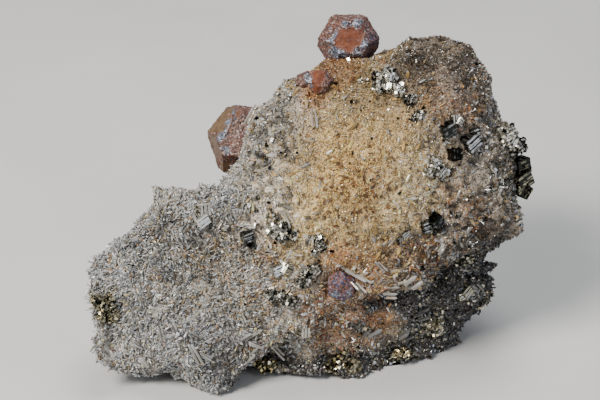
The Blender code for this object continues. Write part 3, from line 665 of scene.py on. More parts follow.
def node_planes(name):
    """The flat faces of a node: unit normals, distances from the origin and areas, large first."""
    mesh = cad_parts[name].data
    mesh.calc_loop_triangles()
    tri = read(mesh.vertices, "co")[read(mesh.loop_triangles, "vertices", int)] / MM
    area = np.cross(tri[:, 1] - tri[:, 0], tri[:, 2] - tri[:, 0]) / 2
    size = np.linalg.norm(area, axis=1)
    kept = size > SMALLEST_TRIANGLE
    normal, size = unit(area[kept]), size[kept]
    distance = (normal * tri[kept, 0]).sum(axis=1)
    planes = []
    for i in np.argsort(-size):
        same = [p for p in planes
                if p[0] @ normal[i] > SAME_NORMAL and abs(p[1] - distance[i]) < SAME_DISTANCE]
        if same:
            same[0][2] += size[i]
        else:
            planes.append([normal[i], distance[i], size[i]])
    return [p for p in planes if p[2] > SMALLEST_FACE]


def square_axes(planes):
    """Three axes square to each other, the first normal to the first plane, that planes share."""
    first = planes[0][0]
    for second in [p[0] for p in planes if abs(p[0] @ first) < SQUARE_WITHIN]:
        third = np.cross(first, second)
        if any(abs(p[0] @ third) > ALIGNED_WITHIN for p in planes):
            return np.array([first, second, third])
    return None


def cubes_of(name):
    """Centre, axes (rows) and edge of each cube of a node, from its square sets of faces."""
    left = node_planes(name)
    cubes = []
    while left:
        axes = square_axes(left)
        if axes is None:
            left = left[1:]
            continue
        own = [abs(axes @ p[0]).max() > ALIGNED_WITHIN for p in left]
        sides = {}
        for (normal, distance, _), is_own in zip(left, own):
            along = axes @ normal
            k = int(abs(along).argmax())
            if is_own:
                sides.setdefault((k, along[k] > 0), distance * np.sign(along[k]))
        left = [p for p, is_own in zip(left, own) if not is_own]
        edges = [sides[k, True] - sides[k, False] for k in range(3)
                 if (k, True) in sides and (k, False) in sides]
        if edges and all((k, True) in sides or (k, False) in sides for k in range(3)):
            edge = float(np.median(edges))
            middle = [sides[k, True] - edge / 2 if (k, True) in sides
                      else sides[k, False] + edge / 2 for k in range(3)]
            cubes.append((np.array(middle) @ axes, axes, edge))
    return cubes


pyrite_cubes = {name: cubes_of(name) for name in PYRITE_NODES}
galena_planes = {name: node_planes(name) for name in GALENA_NODES}
print("cubes read:", {name: len(cubes) for name, cubes in pyrite_cubes.items()})

# %% [markdown]
# ## Pyrite
# Pyrite here is cubes with striped faces: each face is a row of steps, where the crystal wavered
# between two forms as it grew, and the steps of neighbouring faces run square to each other. A
# bump pattern could draw the stripes, but it has no edges to catch the light, so they are real
# steps. Each face is a small grid: uneven steps across it, and a flat margin so that the edges
# meet. Real steps are finer; these are as coarse as they need to be to show. Small cubes grow out
# of the large ones; in the clusters they all but cover them.

# %% Striated cubes
STEP_AT = (-0.5, -0.27, -0.22, 0.02, 0.06, 0.17, 0.21, 0.41, 0.45, 0.5)
STEP_DEPTH = (-0.05, 0.0, -0.07, 0.0, -0.045, 0.0, -0.065, 0.0, -0.03, 0)
ROW_AT = (-0.5, -0.47, 0.47, 0.5)
KEY_AT = np.array([-0.50, -0.40, 0.80])
GLINT = OUTWARD + unit(KEY_AT)


def striated_cube():
    """A cube from -0.5 to 0.5 whose faces fall and rise in steps, and how deep each point is."""
    a, b = np.meshgrid(ROW_AT, STEP_AT, indexing="ij")
    fold = np.zeros_like(a)
    fold[1:3] = STEP_DEPTH
    count = a.size
    index = np.arange(count).reshape(a.shape)
    face = quads(index[:-1, :-1], index[1:, :-1], index[1:, 1:], index[:-1, 1:])
    points, triangles = [], []
    for axis in range(3):
        for sign in (1, -1):
            side = np.zeros((count, 3))
            side[:, axis] = sign * (0.5 + fold.ravel())
            side[:, (axis + 1) % 3] = a.ravel()
            side[:, (axis + 2) % 3] = b.ravel()
            triangles.append((face if sign == 1 else face[:, ::-1]) + len(points) * count)
            points.append(side)
    depth = np.tile(fold.ravel(), 6) / min(STEP_DEPTH)
    return np.concatenate(points), np.concatenate(triangles), depth


def striped_axes(axes):
    """The same cube, its rows set so that the long steps of its front face tilt to the glint."""
    front = abs(axes @ OUTWARD).argmax()
    pull = axes @ GLINT
    pull[front] = 0.0
    steps = abs(pull).argmax()
    across = -axes[steps] * np.sign(pull[steps])
    return np.array([axes[front], np.cross(across, axes[front]), across])


def many(shape_points, shape_triangles, centres, axes, edges):
    """Copies of one shape, each scaled by its edges, turned to its axes and put at its centre."""
    points = np.einsum("pi,ni,nij->npj", shape_points, edges, axes) + centres[:, None, :]
    offsets = np.arange(len(centres))[:, None, None] * len(shape_points)
    return points.reshape(-1, 3), (shape_triangles[None] + offsets).reshape(-1, 3)


def turns(rng, count, most):
    """Turn matrices by a random angle up to most about a random axis, by Rodrigues' formula."""
    axis = unit(rng.normal(size=(count, 3)))
    angle = rng.uniform(0, most, count)
    k = np.zeros((count, 3, 3))
    k[:, 0, 1], k[:, 0, 2], k[:, 1, 2] = -axis[:, 2], axis[:, 1], -axis[:, 0]
    k -= np.swapaxes(k, 1, 2).copy()
    s, c = np.sin(angle)[:, None, None], np.cos(angle)[:, None, None]
    return np.eye(3) + s * k + (1 - c) * (k @ k)


# %% Crystals of each pyrite node
# How dark each pyrite node is: partly its tarnish, and partly a painted dark reflection in its
# faces.
TARNISH_AND_DARK_REFLECTION = {
    "black_cube": 0.97, "white_flake": 0.0, "grey_cube": 0.78, "small_cube": 0.9,
    "striped_group": 0.42, "silver_cluster": 0.3, "crumb_upper": 0.8, "crumb_right": 0.6,
    "edge_bright": 0.40, "edge_knob": 0.85, "edge_column": 1.0, "dark_cluster": 0.93,
    "glint_small": 0.6, "ledge_group": 0.7, "left_pair": 0.0, "dark_twin": 0.85, "rosette": 0.42,
    "bright_pair": 0.25, "crescent": 0.65, "green_group": 0.6, "lower_group": 0.6,
    "striped_cube": 0.0, "gold_cluster": 0.28, "tip_crystal": 0.5, "foot_middle": 0.6,
    "foot_left": 0.6, "foot_right": 0.5, "lobe_cluster": 0.6,
}
BRASSY = {"gold_cluster": 0.5, "foot_middle": 0.7, "foot_left": 0.8, "foot_right": 0.7,
          "lobe_cluster": 0.6, "tip_crystal": 0.5, "edge_column": 0.7, "ledge_group": 0.4}
GROUPS = ("silver_cluster", "edge_bright", "rosette", "crescent", "gold_cluster", "foot",
          "lobe_cluster", "striped_group", "lower_group", "edge_knob", "crumb", "green_group",
          "ledge_group")
GROUP_SHRINK = 0.8
GROUP_CUBES, SINGLE_CUBES = 70, 8
SINGLE_TURN = 0.12
SMALL_SHARE = (0.1, 0.34)
SMALL_EDGES = (0.35, 0.95)
USUAL_BRASS = 0.12
STRIPED_CUBE = striated_cube()
CUBE_CORNERS = np.array([(x, y, z) for x in (-0.5, 0.5) for y in (-0.5, 0.5) for z in (-0.5, 0.5)])
CUBE_TRIANGLES = np.array([(0, 1, 3), (0, 3, 2), (4, 6, 7), (4, 7, 5), (0, 4, 5), (0, 5, 1),
                           (2, 3, 7), (2, 7, 6), (0, 2, 6), (0, 6, 4), (1, 5, 7), (1, 7, 3)])


def crystal_values(rng, name, count):
    """How dark and how brassy each of the crystals is, spread about its node's value; the darkness
    is tarnish and painted dark reflection.
    """
    dark = TARNISH_AND_DARK_REFLECTION[name] + rng.normal(0, 0.12 + 0.3 * name.startswith(GROUPS), count)
    brass = BRASSY.get(name, USUAL_BRASS) + rng.normal(0, 0.1, count)
    return np.clip(dark, 0, 1), np.clip(brass, 0, 1)


def add_pyrite_crystals(node, cubes, rng):
    """The striped crystals of one node, with smaller cubes that grow from each."""
    name = node.removeprefix("pyrite_")
    grouped = name.startswith(GROUPS)
    centres, axes, edges = (np.array(part) for part in zip(*cubes))
    main = many(*STRIPED_CUBE[:2], centres, np.array([striped_axes(rows) for rows in axes]),
                edges[:, None] * np.full(3, GROUP_SHRINK if grouped else 1.0))
    host = np.repeat(np.arange(len(cubes)), GROUP_CUBES if grouped else SINGLE_CUBES)
    spread = rng.uniform(-0.48, 0.48, (len(host), 3))
    pushed = rng.integers(0, 3, len(host))
    spread[np.arange(len(host)), pushed] = np.where(rng.random(len(host)) < 0.5, -0.46, 0.46)
    at = centres[host] + np.einsum("ni,nij->nj", spread * edges[host][:, None], axes[host])
    turned = axes[host] @ turns(rng, len(host), math.pi if grouped else SINGLE_TURN)
    small = np.clip(edges[host] * rng.uniform(*SMALL_SHARE, len(host)), *SMALL_EDGES)
    extra = many(CUBE_CORNERS, CUBE_TRIANGLES, at, turned,
                 small[:, None] * rng.uniform(0.7, 1.2, (len(host), 3)))
    dark, brass = crystal_values(rng, name, len(cubes) + len(host))
    repeats = np.repeat([len(STRIPED_CUBE[0]), len(CUBE_CORNERS)], [len(cubes), len(host)])
    groove = np.append(np.tile(STRIPED_CUBE[2], len(cubes)), np.zeros(len(extra[0])))
    points = np.concatenate([main[0], extra[0]])
    triangles = np.concatenate([main[1], extra[1] + len(main[0])])
    striped = np.repeat([1.0, 0.0], [len(main[0]), len(extra[0])])
    piece = add_piece("striped_" + name, points, triangles, "pyrite", {
        "dark": np.repeat(dark, repeats), "brass": np.repeat(brass, repeats),
        "groove": groove, "striped": striped})
    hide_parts(node)
    return piece


rng = np.random.default_rng(11)
pyrite_pieces = [add_pyrite_crystals(name, cubes, rng) for name, cubes in pyrite_cubes.items()]
cube_centres = np.array([c[0] for cubes in pyrite_cubes.values() for c in cubes])
cube_edges = np.array([c[2] for cubes in pyrite_cubes.values() for c in cubes])
print("edges of the pyrite cubes, mm:", cube_edges.min().round(1), "to", cube_edges.max().round(1))

# %% [markdown]
# ## Galena
# The galena crystals are cubes cut by an octahedron. Iron has stained some faces a smooth
# orange-brown, and a granular skin of pinkish, red-brown and blue-white grains coats the rest. A
# noise texture could colour it, but grains need to stand up as well, each in its own colour. So
# the solid faces are cut into a fine net; each cell of the cell noise is one grain, with its own
# height and its own number between 0 and 1, which the material turns into a colour.

# %% Where the galena is smooth, blue and dull
SMOOTH_FACES = [
    [(13.6, 57.0), (11.5, 52.7), (11.9, 50.6), (16.2, 49.3), (19.8, 51.4), (21.7, 54.8),
     (21.0, 57.6)],
    [(4.8, 43.6), (4.0, 41.3), (4.3, 38.3), (5.1, 35.1), (7.0, 37.2), (8.5, 39.9), (8.5, 42.1),
     (7.0, 43.8)],
    [(-31.2, 23.9), (-30.3, 22.2), (-26.0, 23.1), (-21.8, 30.7), (-23.1, 31.9)],
    [(-31.0, 22.2), (-28.8, 16.0), (-26.9, 11.0), (-26.0, 12.3), (-27.0, 18.3), (-28.0, 21.3)],
    [(-26.8, 12.9), (-26.4, 8.2), (-24.8, 7.2), (-23.1, 10.1), (-23.9, 12.2)],
    [(-21.8, 30.3), (-21.4, 27.0), (-20.1, 27.0), (-20.1, 29.6)],
]
BLUE_GRAINS = [((12.2, 55.0), 1.4, 1.0), ((11.2, 49.6), 1.5, 1.1), ((15.2, 58.4), 1.5, 0.9),
               ((19.0, 58.9), 1.6, 1.0), ((13.9, 48.6), 1.2, 1.1), ((15.2, 46.3), 1.7, 1.2),
               ((21.3, 52.4), 1.3, 1.1), ((19.0, 49.2), 1.3, 0.9), ((10.4, 53.2), 1.2, 0.8),
               ((2.4, 41.2), 0.9, 1.3), ((3.2, 39.8), 0.9, 1.4), ((4.4, 38.2), 0.8, 1.3),
               ((-22.0, 29.4), 1.3, 1.0), ((-24.2, 26.2), 1.4, 1.1), ((-25.4, 23.0), 1.3, 0.9),
               ((-26.4, 21.0), 1.4, 1.1), ((-24.8, 16.6), 1.5, 1.0), ((11.6, -32.0), 1.5, 0.9),
               ((16.0, -31.6), 1.2, 0.8)]
# Where the coat is dark: the front crystal's dull face, and painted shade on the right side of the
# top crystal.
DULL_AND_SHADED_SIDES = [((26.5, 52.5), 4.6, 1.2), ((24.6, 47.5), 3.2, 0.9), ((13.8, -28.6), 8.0, 1.2)]
TAN_SIDE = [((-28.0, 25.0), 5.5, 1.2), ((-24.0, 30.0), 3.5, 1.0), ((-29.0, 17.0), 5.0, 0.7),
            ((-25.0, 9.5), 3.5, 0.9)]


def within(u, v, outline):
    """How deep (u, v) lies inside a convex outline: the least of its distances to the sides."""
    start = np.array(outline)
    side = unit(np.roll(start, -1, axis=0) - start)
    depths = [du * (v - v0) - dv * (u - u0) for (u0, v0), (du, dv) in zip(start, side)]
    return np.min(depths, axis=0)


# %% Galena skin
GALENA_CUTS = {"galena_top": 5, "galena_left": 5, "galena_front": 4, "galena_small_pair": 4}
GRAIN_SIZE = 0.55
GRAIN_LIFT = 0.2
COAT_SINK = 0.1
WORN = [(3.0, 0.12, 51), (1.0, 0.05, 52)]


def net_of(name, cuts):
    """Points, normals and triangles of a node's faces: cut from the middle, then halved."""
    work = bmesh.new()
    work.from_mesh(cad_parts[name].data)
    bmesh.ops.remove_doubles(work, verts=work.verts, dist=1e-6)
    bmesh.ops.dissolve_limit(work, angle_limit=math.radians(1), verts=work.verts, edges=work.edges)
    bmesh.ops.poke(work, faces=work.faces)
    for _ in range(cuts):
        bmesh.ops.subdivide_edges(work, edges=work.edges, cuts=1, use_grid_fill=True)
        bmesh.ops.triangulate(work, faces=work.faces)
    mesh = bpy.data.meshes.new(name)
    work.to_mesh(mesh)
    work.free()
    net = (read(mesh.vertices, "co") / MM, read(mesh.vertices, "normal"),
           read(mesh.loops, "vertex_index", int, width=1))
    bpy.data.meshes.remove(mesh)
    return net


def add_galena(name, cuts):
    """The coat of one crystal: grains that bulge on their cells, and smooth worn faces."""
    points, normals, triangles = net_of(name, cuts)
    u, v, _ = seen(points)
    edge_noise = lattice_noise(points, 1.3, 54) * 0.3
    site, key = nearest_cell(points, GRAIN_SIZE, 55)
    depth = np.max([within(u, v, face) for face in SMOOTH_FACES], axis=0)
    uneven = lattice_noise(points, 2.0, 57) * 0.7 + lattice_noise(site, 0.5, 58) * 0.7
    smooth_part = np.clip((depth + uneven) * 3 + 0.5, 0, 1)
    blue_here = spots(*seen(site)[:2], BLUE_GRAINS) + lattice_noise(site, 1.5, 59) * 0.3
    bulge = 1 - np.linalg.norm(points - site, axis=1) / (GRAIN_SIZE * 0.8)
    lift = (from_bits(key, 5) + bulge) * GRAIN_LIFT
    height = layered(points, WORN) + lift * (1 - smooth_part) - COAT_SINK
    piece = add_piece("coated_" + name, points + normals * height[:, None], triangles, "galena", {
        "smooth_part": smooth_part, "grain": from_bits(key, 8, 12),
        "blue": blue_here > 0.1 + from_bits(key, 14) * 0.7,
        "dull_and_shaded": np.clip(spots(u, v, DULL_AND_SHADED_SIDES) + edge_noise, 0, 1),
        "tan": spots(u, v, TAN_SIDE)}, smooth=True)
    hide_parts(name)
    return piece


galena_pieces = [add_galena(name, cuts) for name, cuts in GALENA_CUTS.items()]

# %% [markdown]
# ## Quartz crystals
# A quartz crystal is a six-sided column that ends in a six-sided point. Geometry nodes could
# scatter copies of one, but here each crystal takes its length, lean and tone from its place,
# which arrays do in a few lines. One formula makes them all: a ring of six points at the root, a
# ring at the shoulder and one point at the tip, turned and stretched for each crystal. The
# smallest need only one ring between two points. Where they grow is drawn at random from the faces
# of the plate, so each square millimetre gets its share.

# %% Crystal formula
POINT_SHARE = 0.85
SHOULDER_WIDTH = 0.94
SHOULDER_ALONG = 0.8


def crystal_triangles(sides, columns):
    """The triangles of a column with a point and a closed root, or of a double point."""
    i = np.arange(sides)
    j = (i + 1) % sides
    last = sides if columns else 0
    closing = np.stack([np.zeros(sides, int), 1 + j, 1 + i], -1)
    point = np.stack([1 + last + i, 1 + last + j, np.full(sides, 1 + last + sides)], -1)
    if not columns:
        return np.concatenate([closing, point])
    wall = quads(1 + i, 1 + j, 1 + last + j, 1 + last + i)
    return np.concatenate([closing, wall, point])


def crystals(root, axis, length, width, turn, sides, columns):
    """Points of many crystals: a ring of radius width / 2 at the root and at the shoulder."""
    not_along = np.where(abs(axis[:, 2:3]) < 0.8, np.array([[0.0, 0, 1]]), np.array([[1.0, 0, 0]]))
    side = unit(np.cross(axis, not_along))
    other = np.cross(axis, side)
    angle = turn[:, None] + np.arange(sides) * math.tau / sides
    ring = (np.cos(angle)[..., None] * side[:, None] + np.sin(angle)[..., None] * other[:, None])
    ring *= width[:, None, None] / 2
    shoulder = (root + axis * (length - width * POINT_SHARE)[:, None])[:, None]
    shoulder = shoulder + ring * SHOULDER_WIDTH
    tip = (root + axis * length[:, None])[:, None]
    rings = [root[:, None] + ring, shoulder] if columns else [shoulder]
    return np.concatenate([root[:, None], *rings, tip], axis=1).reshape(-1, 3)


def add_crystals(name, root, axis, length, width, rng, tones, clear, sides=6, columns=True):
    """One piece of many crystals, each of one tone. The value along runs from root to tip."""
    count = len(root)
    points = crystals(root, axis, length, width, rng.uniform(0, 1, count), sides, columns)
    along = np.array([0.0] * (1 + sides * columns) + [SHOULDER_ALONG] * sides + [1.0])
    triangles = crystal_triangles(sides, columns)
    triangles = (triangles[None] + len(along) * np.arange(count)[:, None, None]).reshape(-1, 3)
    values = {"along": np.tile(along, count), "clear": np.repeat(clear, len(along))}
    tones = np.repeat(tones, len(along), axis=0)
    return add_piece(name, points, triangles, "quartz_rock", values, tones)


# %% Where crystals can grow
CRUST_BLEND = 3
BACK_SHARE = 0.3
FLOOR_GAP = 0.6
face_a, face_b = grid[:-1], grid[1:]
corner_b = np.roll(face_b, -1, axis=1)
corner_a = np.roll(face_a, -1, axis=1)
site_normal = np.cross(face_b - face_a, corner_a - face_a)
site_area = np.linalg.norm(site_normal, axis=-1)
site_normal = unit(site_normal)
site_middle = (face_a + face_b + corner_a + corner_b) / 4
site_u, site_v, site_w = seen(site_middle)
site_ring = ring[:-1] + 0.5
site_points = site_middle.reshape(-1, 3)
wander = ragged(site_points).reshape(site_ring.shape)
crusted = 1 - np.clip((site_ring + wander - bare_from + 1) / CRUST_BLEND, 0, 1)
on_front = np.clip((site_normal @ OUTWARD + 0.35) * 2.5, BACK_SHARE, 1)
above_floor = site_middle[..., 2] > FLOOR_GAP
print("area of the crust, mm2:", int((site_area * crusted).sum()))


def draw_sites(rng, weight, count):
    """As many random places on the plate as the count, spread by weight, with their normals."""
    chance = (weight * site_area * above_floor).ravel()
    chosen = rng.choice(chance.size, count, p=chance / chance.sum())
    s, t = rng.random((2, len(chosen), 1))
    a, b, c, d = (f.reshape(-1, 3)[chosen] for f in (face_a, face_b, corner_b, corner_a))
    points = (1 - s) * (1 - t) * a + s * (1 - t) * b + s * t * c + (1 - s) * t * d
    return points, site_normal.reshape(-1, 3)[chosen]


CUBE_REACH = 0.6


def free_of_large_crystals(points, margin):
    """Which points stay clear of the galena and pyrite crystals, by margin in millimetres."""
    clear = np.ones(len(points), bool)
    for planes in galena_planes.values():
        inside = np.ones(len(points), bool)
        for normal, distance, _ in planes:
            inside &= points @ normal < distance + margin
        clear &= ~inside
    for centre, edge in zip(cube_centres, cube_edges):
        clear &= np.linalg.norm(points - centre, axis=1) > edge * CUBE_REACH + margin
    return clear


SHEAVES = [(5.0, 2.2, 91)]


def leaning(rng, points, normals, lean):
    """Unit directions that lean from the normal by an angle, to sides half shared nearby."""
    to_side = rng.normal(size=normals.shape) + waves(points, SHEAVES)
    side = unit(to_side - (to_side * normals).sum(axis=1)[:, None] * normals)
    return normals * np.cos(lean)[:, None] + side * np.sin(lean)[:, None]


# %% Needles and grains of the crust
CLEARANCE = 0.3
ROOTED = 0.3
LOWEST_TIP = 0.5
LEAN_BY_LENGTH = 0.75
CLEAR_SPREAD = 0.12


def grow(name, rng, weight, count, lengths, widths, leans, clear, bare=0.0, sides=6, columns=False):
    """A field of crystals. Lengths and widths in mm; the longer a crystal, the more it leans."""
    points, normals = draw_sites(rng, weight, count)
    keep = free_of_large_crystals(points, CLEARANCE)
    points, normals = points[keep], normals[keep]
    count = len(points)
    long_share = rng.random(count) ** 1.5
    length = lengths[0] + (lengths[1] - lengths[0]) * long_share
    width = widths[0] + (widths[1] - widths[0]) * rng.random(count) ** 1.4
    width *= 0.8 + 0.3 * long_share
    least = np.radians(leans[0] + (leans[1] - leans[0]) * LEAN_BY_LENGTH * long_share)
    lean = least + (math.radians(leans[1]) - least) * rng.random(count)
    axis = leaning(rng, points, normals, lean)
    root = points - axis * (length * ROOTED)[:, None]
    low_tip = (root + axis * length[:, None])[:, 2] < LOWEST_TIP
    axis[low_tip, 2] = abs(axis[low_tip, 2])
    tones = draw_tones(rng, points, bare)
    clear = np.clip(clear + rng.normal(0, CLEAR_SPREAD, count), 0, 0.9)
    return add_crystals(name, root, axis, length, width, rng, tones, clear, sides, columns)


coarse = spots(site_u, site_v, COARSE)
shingle = spots(site_u, site_v, SHINGLE)
rugged = spots(site_u, site_v, RUGGED)
crust = crusted * on_front
TUFT_CONTRAST = 1.1
TUFT_LIMITS = (0.12, 2.5)
density = 1 + TUFT_CONTRAST * tufts(site_points).reshape(crust.shape)
tufted = crust * np.clip(density, *TUFT_LIMITS)
rng = np.random.default_rng(23)
quartz_pieces = [
    grow("quartz_needles_low", rng, tufted * coarse, 15000, (1.2, 5.2), (0.35, 0.9), (20, 88),
         0.3),
    grow("quartz_needles_high", rng, tufted * coarse, 15000, (1.0, 4.2), (0.3, 0.8), (15, 85),
         0.3),
    grow("quartz_stubs", rng, tufted * (0.08 + 0.4 * coarse + 0.6 * shingle), 7000, (1.2, 3.8),
         (0.55, 1.3), (15, 85), 0.3, columns=True),
    grow("quartz_grains", rng, crust * (1.05 - coarse), 21000, (0.6, 1.5), (0.35, 0.75), (0, 70),
         0.15, sides=4),
    grow("quartz_sand", rng, tufted * (1.05 - 0.8 * coarse + 0.5 * rugged), 24000, (0.5, 1.2),
         (0.35, 0.7), (0, 70), 0.15, sides=4),
]

# %% [markdown]
# ## Long blades
# A few columns are much longer than the rest, and the eye finds them first, so they aren't left to
# chance. Each is placed by its two ends, as read, and the nearest points of the plate give
# their height. It is a bundle of three, because long crystals tend to grow side by side.

# %% Long blades
BLADES = [
    ((-33.5, -55.0), (-38.0, -47.0), 1.7), ((-33.5, -45.6), (-38.4, -42.6), 1.4),
    ((-45.0, -46.4), (-46.8, -40.6), 1.2), ((-50.8, -54.2), (-54.6, -50.0), 1.3),
    ((-17.6, -46.4), (-11.2, -43.2), 1.5), ((-16.8, -53.4), (-12.6, -49.0), 1.5),
    ((-37.2, -28.0), (-35.6, -24.0), 1.1), ((-9.0, -47.4), (-4.8, -51.4), 1.4),
    ((15.2, -22.4), (25.0, -28.0), 1.8), ((17.8, -26.4), (21.8, -30.4), 1.5),
    ((25.4, -20.6), (28.4, -24.2), 1.2), ((5.0, 30.0), (5.6, 23.0), 1.1),
    ((-13.0, -48.0), (-17.8, -45.6), 1.1), ((-52.0, -48.4), (-55.4, -46.2), 1.1),
    ((-35.0, -51.0), (-30.4, -53.8), 1.2), ((-29.0, 2.0), (-26.6, 5.0), 1.3),
    ((-20.8, 25.6), (-13.6, 32.0), 1.1), ((-19.4, -37.0), (-18.2, -40.8), 1.0),
    ((-40.8, -43.0), (-42.4, -39.6), 1.0), ((32.4, -27.2), (37.0, -25.6), 1.6),
    ((-5.4, -3.0), (-2.8, -7.8), 1.0), ((22.0, -43.8), (26.8, -41.0), 2.6),
    ((33.6, -45.0), (37.6, -43.0), 2.8), ((37.8, -38.6), (42.0, -36.4), 2.4),
    ((28.0, -29.8), (32.6, -28.8), 1.8), ((36.0, -28.4), (40.2, -25.2), 2.8),
    ((47.0, -19.0), (50.0, -16.6), 2.4), ((57.6, -28.6), (60.0, -31.6), 2.4),
    ((13.4, -57.0), (16.0, -53.8), 2.2),
]


def nearest_site(u, v):
    """The foremost point, and its normal, of those that show nearest to (u, v)."""
    far = (site_u - u) ** 2 + (site_v - v) ** 2 - 0.02 * site_w + (site_ring > RIM_RING) * 1e6
    index = np.unravel_index(far.argmin(), far.shape)
    return site_middle[index], site_normal[index]


BUNDLE = 3
RISE_ABOVE, RISE_UNDER = 1.2, 0.2
BLADE_SLIM = 0.55
GLASSY_SHARE = 0.7
UNDER_LEDGE_DARK = 0.6
MILKY = TONE_COLOURS[list(TONES).index("milky")]
foot, tips, widths = [], [], []
for start, end, width in BLADES:
    at, _ = nearest_site(*start)
    beyond, out = nearest_site(*end)
    rise = RISE_ABOVE if seen(at)[2] > 0 else RISE_UNDER
    foot += [at + out * (width * 0.3 + rise)] * BUNDLE
    tips += [beyond + out * (width * 0.5 + rise * 1.6)] * BUNDLE
    widths += [width] * BUNDLE
foot, tips, widths = np.array(foot), np.array(tips), np.array(widths)
shift = rng.normal(0, 0.4, (len(foot), 3)) * widths[:, None]
foot += shift
astray = rng.normal(0, 0.3, (len(foot), 3))
tips += shift + astray + (foot - tips) * rng.uniform(0, 0.35, (len(foot), 1))
length = np.linalg.norm(tips - foot, axis=1)
under_ledge = (seen(foot)[2] < 0) * 1.0
glassy = MILKY * rng.uniform(0.7, 1.2, (len(foot), 1))
glassy *= 1 - UNDER_LEDGE_DARK * under_ledge[:, None]
blade_tones = draw_tones(rng, foot, under_ledge) * (1 - GLASSY_SHARE) + glassy * GLASSY_SHARE
quartz_pieces.append(add_crystals(
    "quartz_blades", foot, (tips - foot) / length[:, None], length, widths * BLADE_SLIM, rng,
    blade_tones, np.full(len(foot), 0.3)))

# %% [markdown]
# ## The broken band
# Under the ledge the rock is bare: chips of grey quartz, and grains of pyrite scattered through
# it. Each could be a lump with a broken outline, but at this size only its flat faces show, so the
# chips are short stubs that lie all ways, and the pyrite grains are small plain cubes.

# %% Chips and specks
BAND_FADE = 6
band = (1 - crusted) * np.clip((RIM_RING + BAND_FADE - site_ring) / BAND_FADE, 0, 1)
quartz_pieces.append(grow("quartz_chips", rng, band * on_front, 5000, (0.8, 2.4), (0.45, 1.3),
                          (0, 85), 0.25, bare=1.0))
SPECKS = [((44, -42), 4.5, 1.0), ((12, -52.5), 4.0, 0.8), ((33.7, -52.7), 4.5, 0.8),
          ((19.5, -50.3), 2.0, 1.0), ((20.3, -43.3), 2.0, 0.8), ((-10, -56.7), 6.0, 0.9),
          ((62.5, -35.8), 3.5, 0.9), ((52, -22), 6, 0.3), ((72, 4), 8, 0.8), ((70, 18), 6, 0.5),
          ((-66, -36), 5, 0.9), ((41, -28), 4, 0.4), ((2, -26), 5, 0.2), ((-6, -11), 4, 0.3)]


def add_specks(name, rng, weight, count, sizes, dark, brass):
    """Small plain cubes of pyrite at random places and turns."""
    points, out = draw_sites(rng, weight, count)
    edges = sizes[0] + (sizes[1] - sizes[0]) * rng.random((count, 1)) ** 2.5
    turned = turns(rng, count, math.pi)
    cubes = many(CUBE_CORNERS, CUBE_TRIANGLES, points + out * edges * 0.3, turned,
                 edges * rng.uniform(0.7, 1.3, (count, 3)))
    values = {"dark": np.clip(dark + rng.normal(0, 0.3, count), 0, 1),
              "brass": np.clip(brass + rng.normal(0, 0.25, count), 0, 1)}
    return add_piece(name, *cubes, "pyrite",
                     {label: np.repeat(numbers, 8) for label, numbers in values.items()})


near_specks = spots(site_u, site_v, SPECKS) * on_front
pyrite_pieces.append(add_specks("pyrite_grains_band", rng, band * (0.03 + near_specks), 1800,
                                (0.3, 1.0), 0.66, 0.36))
pyrite_pieces.append(add_specks("pyrite_grains_crust", rng, crust * (0.022 + near_specks), 1500,
                                (0.3, 1.1), 0.7, 0.3))

# %% [markdown]
# ## Materials
# Iron-stained quartz is glassy: colourless to milky where clean, sandy or rusty where iron has
# seeped in. Its faces are smooth, so it glints. The rock under it is dull. Galena is lead-grey
# metal under a stain, and pyrite is pale brassy metal. The tone of each crystal could be drawn by
# nodes, but it follows the shares of its zone, so it comes from the arrays. Finer patterns are
# noise, with their sizes in real millimetres. Colours are given as sRGB hex values.

# %% Material helpers
# A colour mix has its share at socket 0 and its colours at 6 and 7, and gives output 2.
COLOUR_MIX = {"kind": "ShaderNodeMix", "output": 2, "data_type": "RGBA"}


def feed(tree, node, sockets):
    """Each socket of the node gets a number, an sRGB hex colour or the output of another node."""
    for socket, value in sockets.items():
        if isinstance(value, bpy.types.NodeSocket):
            tree.links.new(value, node.inputs[socket])
        else:
            node.inputs[socket].default_value = linear(value) if isinstance(value, str) else value


def add_node(tree, sockets, kind, output=0, **properties):
    """One output of a new node, whose properties are set and whose sockets are fed."""
    node = tree.nodes.new(kind)
    for label, value in properties.items():
        setattr(node, label, value)
    feed(tree, node, sockets)
    return node.outputs[output]


def point_values(tree, labels):
    """The outputs that bring the named per-point values of the mesh."""
    return [add_node(tree, {}, "ShaderNodeAttribute", "Fac", attribute_name=label)
            for label in labels]


def new_material(name, sockets):
    """A material with its tree, and its Principled shader with the sockets fed."""
    material = bpy.data.materials.new(name)
    material.use_nodes = True
    tree = material.node_tree
    shader = tree.nodes["Principled BSDF"]
    feed(tree, shader, sockets)
    return material, tree, shader


def patches(tree, size_mm, detail, low, high, least=0.0, most=1.0, shift=0.0):
    """Patches about size_mm across: the least where the noise is low, the most where it is high."""
    at = add_node(tree, {}, "ShaderNodeTexCoord", "Object")
    moved = add_node(tree, {"Vector": at, "Location": (shift, shift, 0)}, "ShaderNodeMapping")
    noise = add_node(tree, {"Vector": moved, "Scale": 1 / (size_mm * MM), "Detail": detail},
                     "ShaderNodeTexNoise", "Fac")
    return add_node(tree, {"Value": noise, "From Min": low, "From Max": high, "To Min": least,
                           "To Max": most}, "ShaderNodeMapRange")


# %% Quartz
def quartz_material():
    """Drusy quartz, grown freely: glassy columns, their colour darker and warmer towards the root.
    """
    material, tree, shader = new_material("iron_stained_quartz", {"Roughness": 0.16, "IOR": 1.544})
    tone = add_node(tree, {}, "ShaderNodeAttribute", "Color", attribute_name="tone")
    along, clear = point_values(tree, ("along", "clear"))
    near_tip = add_node(tree, {"Value": along, "From Min": 0.3}, "ShaderNodeMapRange")
    root = add_node(tree, {0: 1.0, 6: tone, 7: "#D2CCC3"}, **COLOUR_MIX, blend_type="MULTIPLY")
    colour = add_node(tree, {0: near_tip, 6: root, 7: tone}, **COLOUR_MIX)
    feed(tree, shader, {"Base Color": colour, "Transmission Weight": clear})
    return material


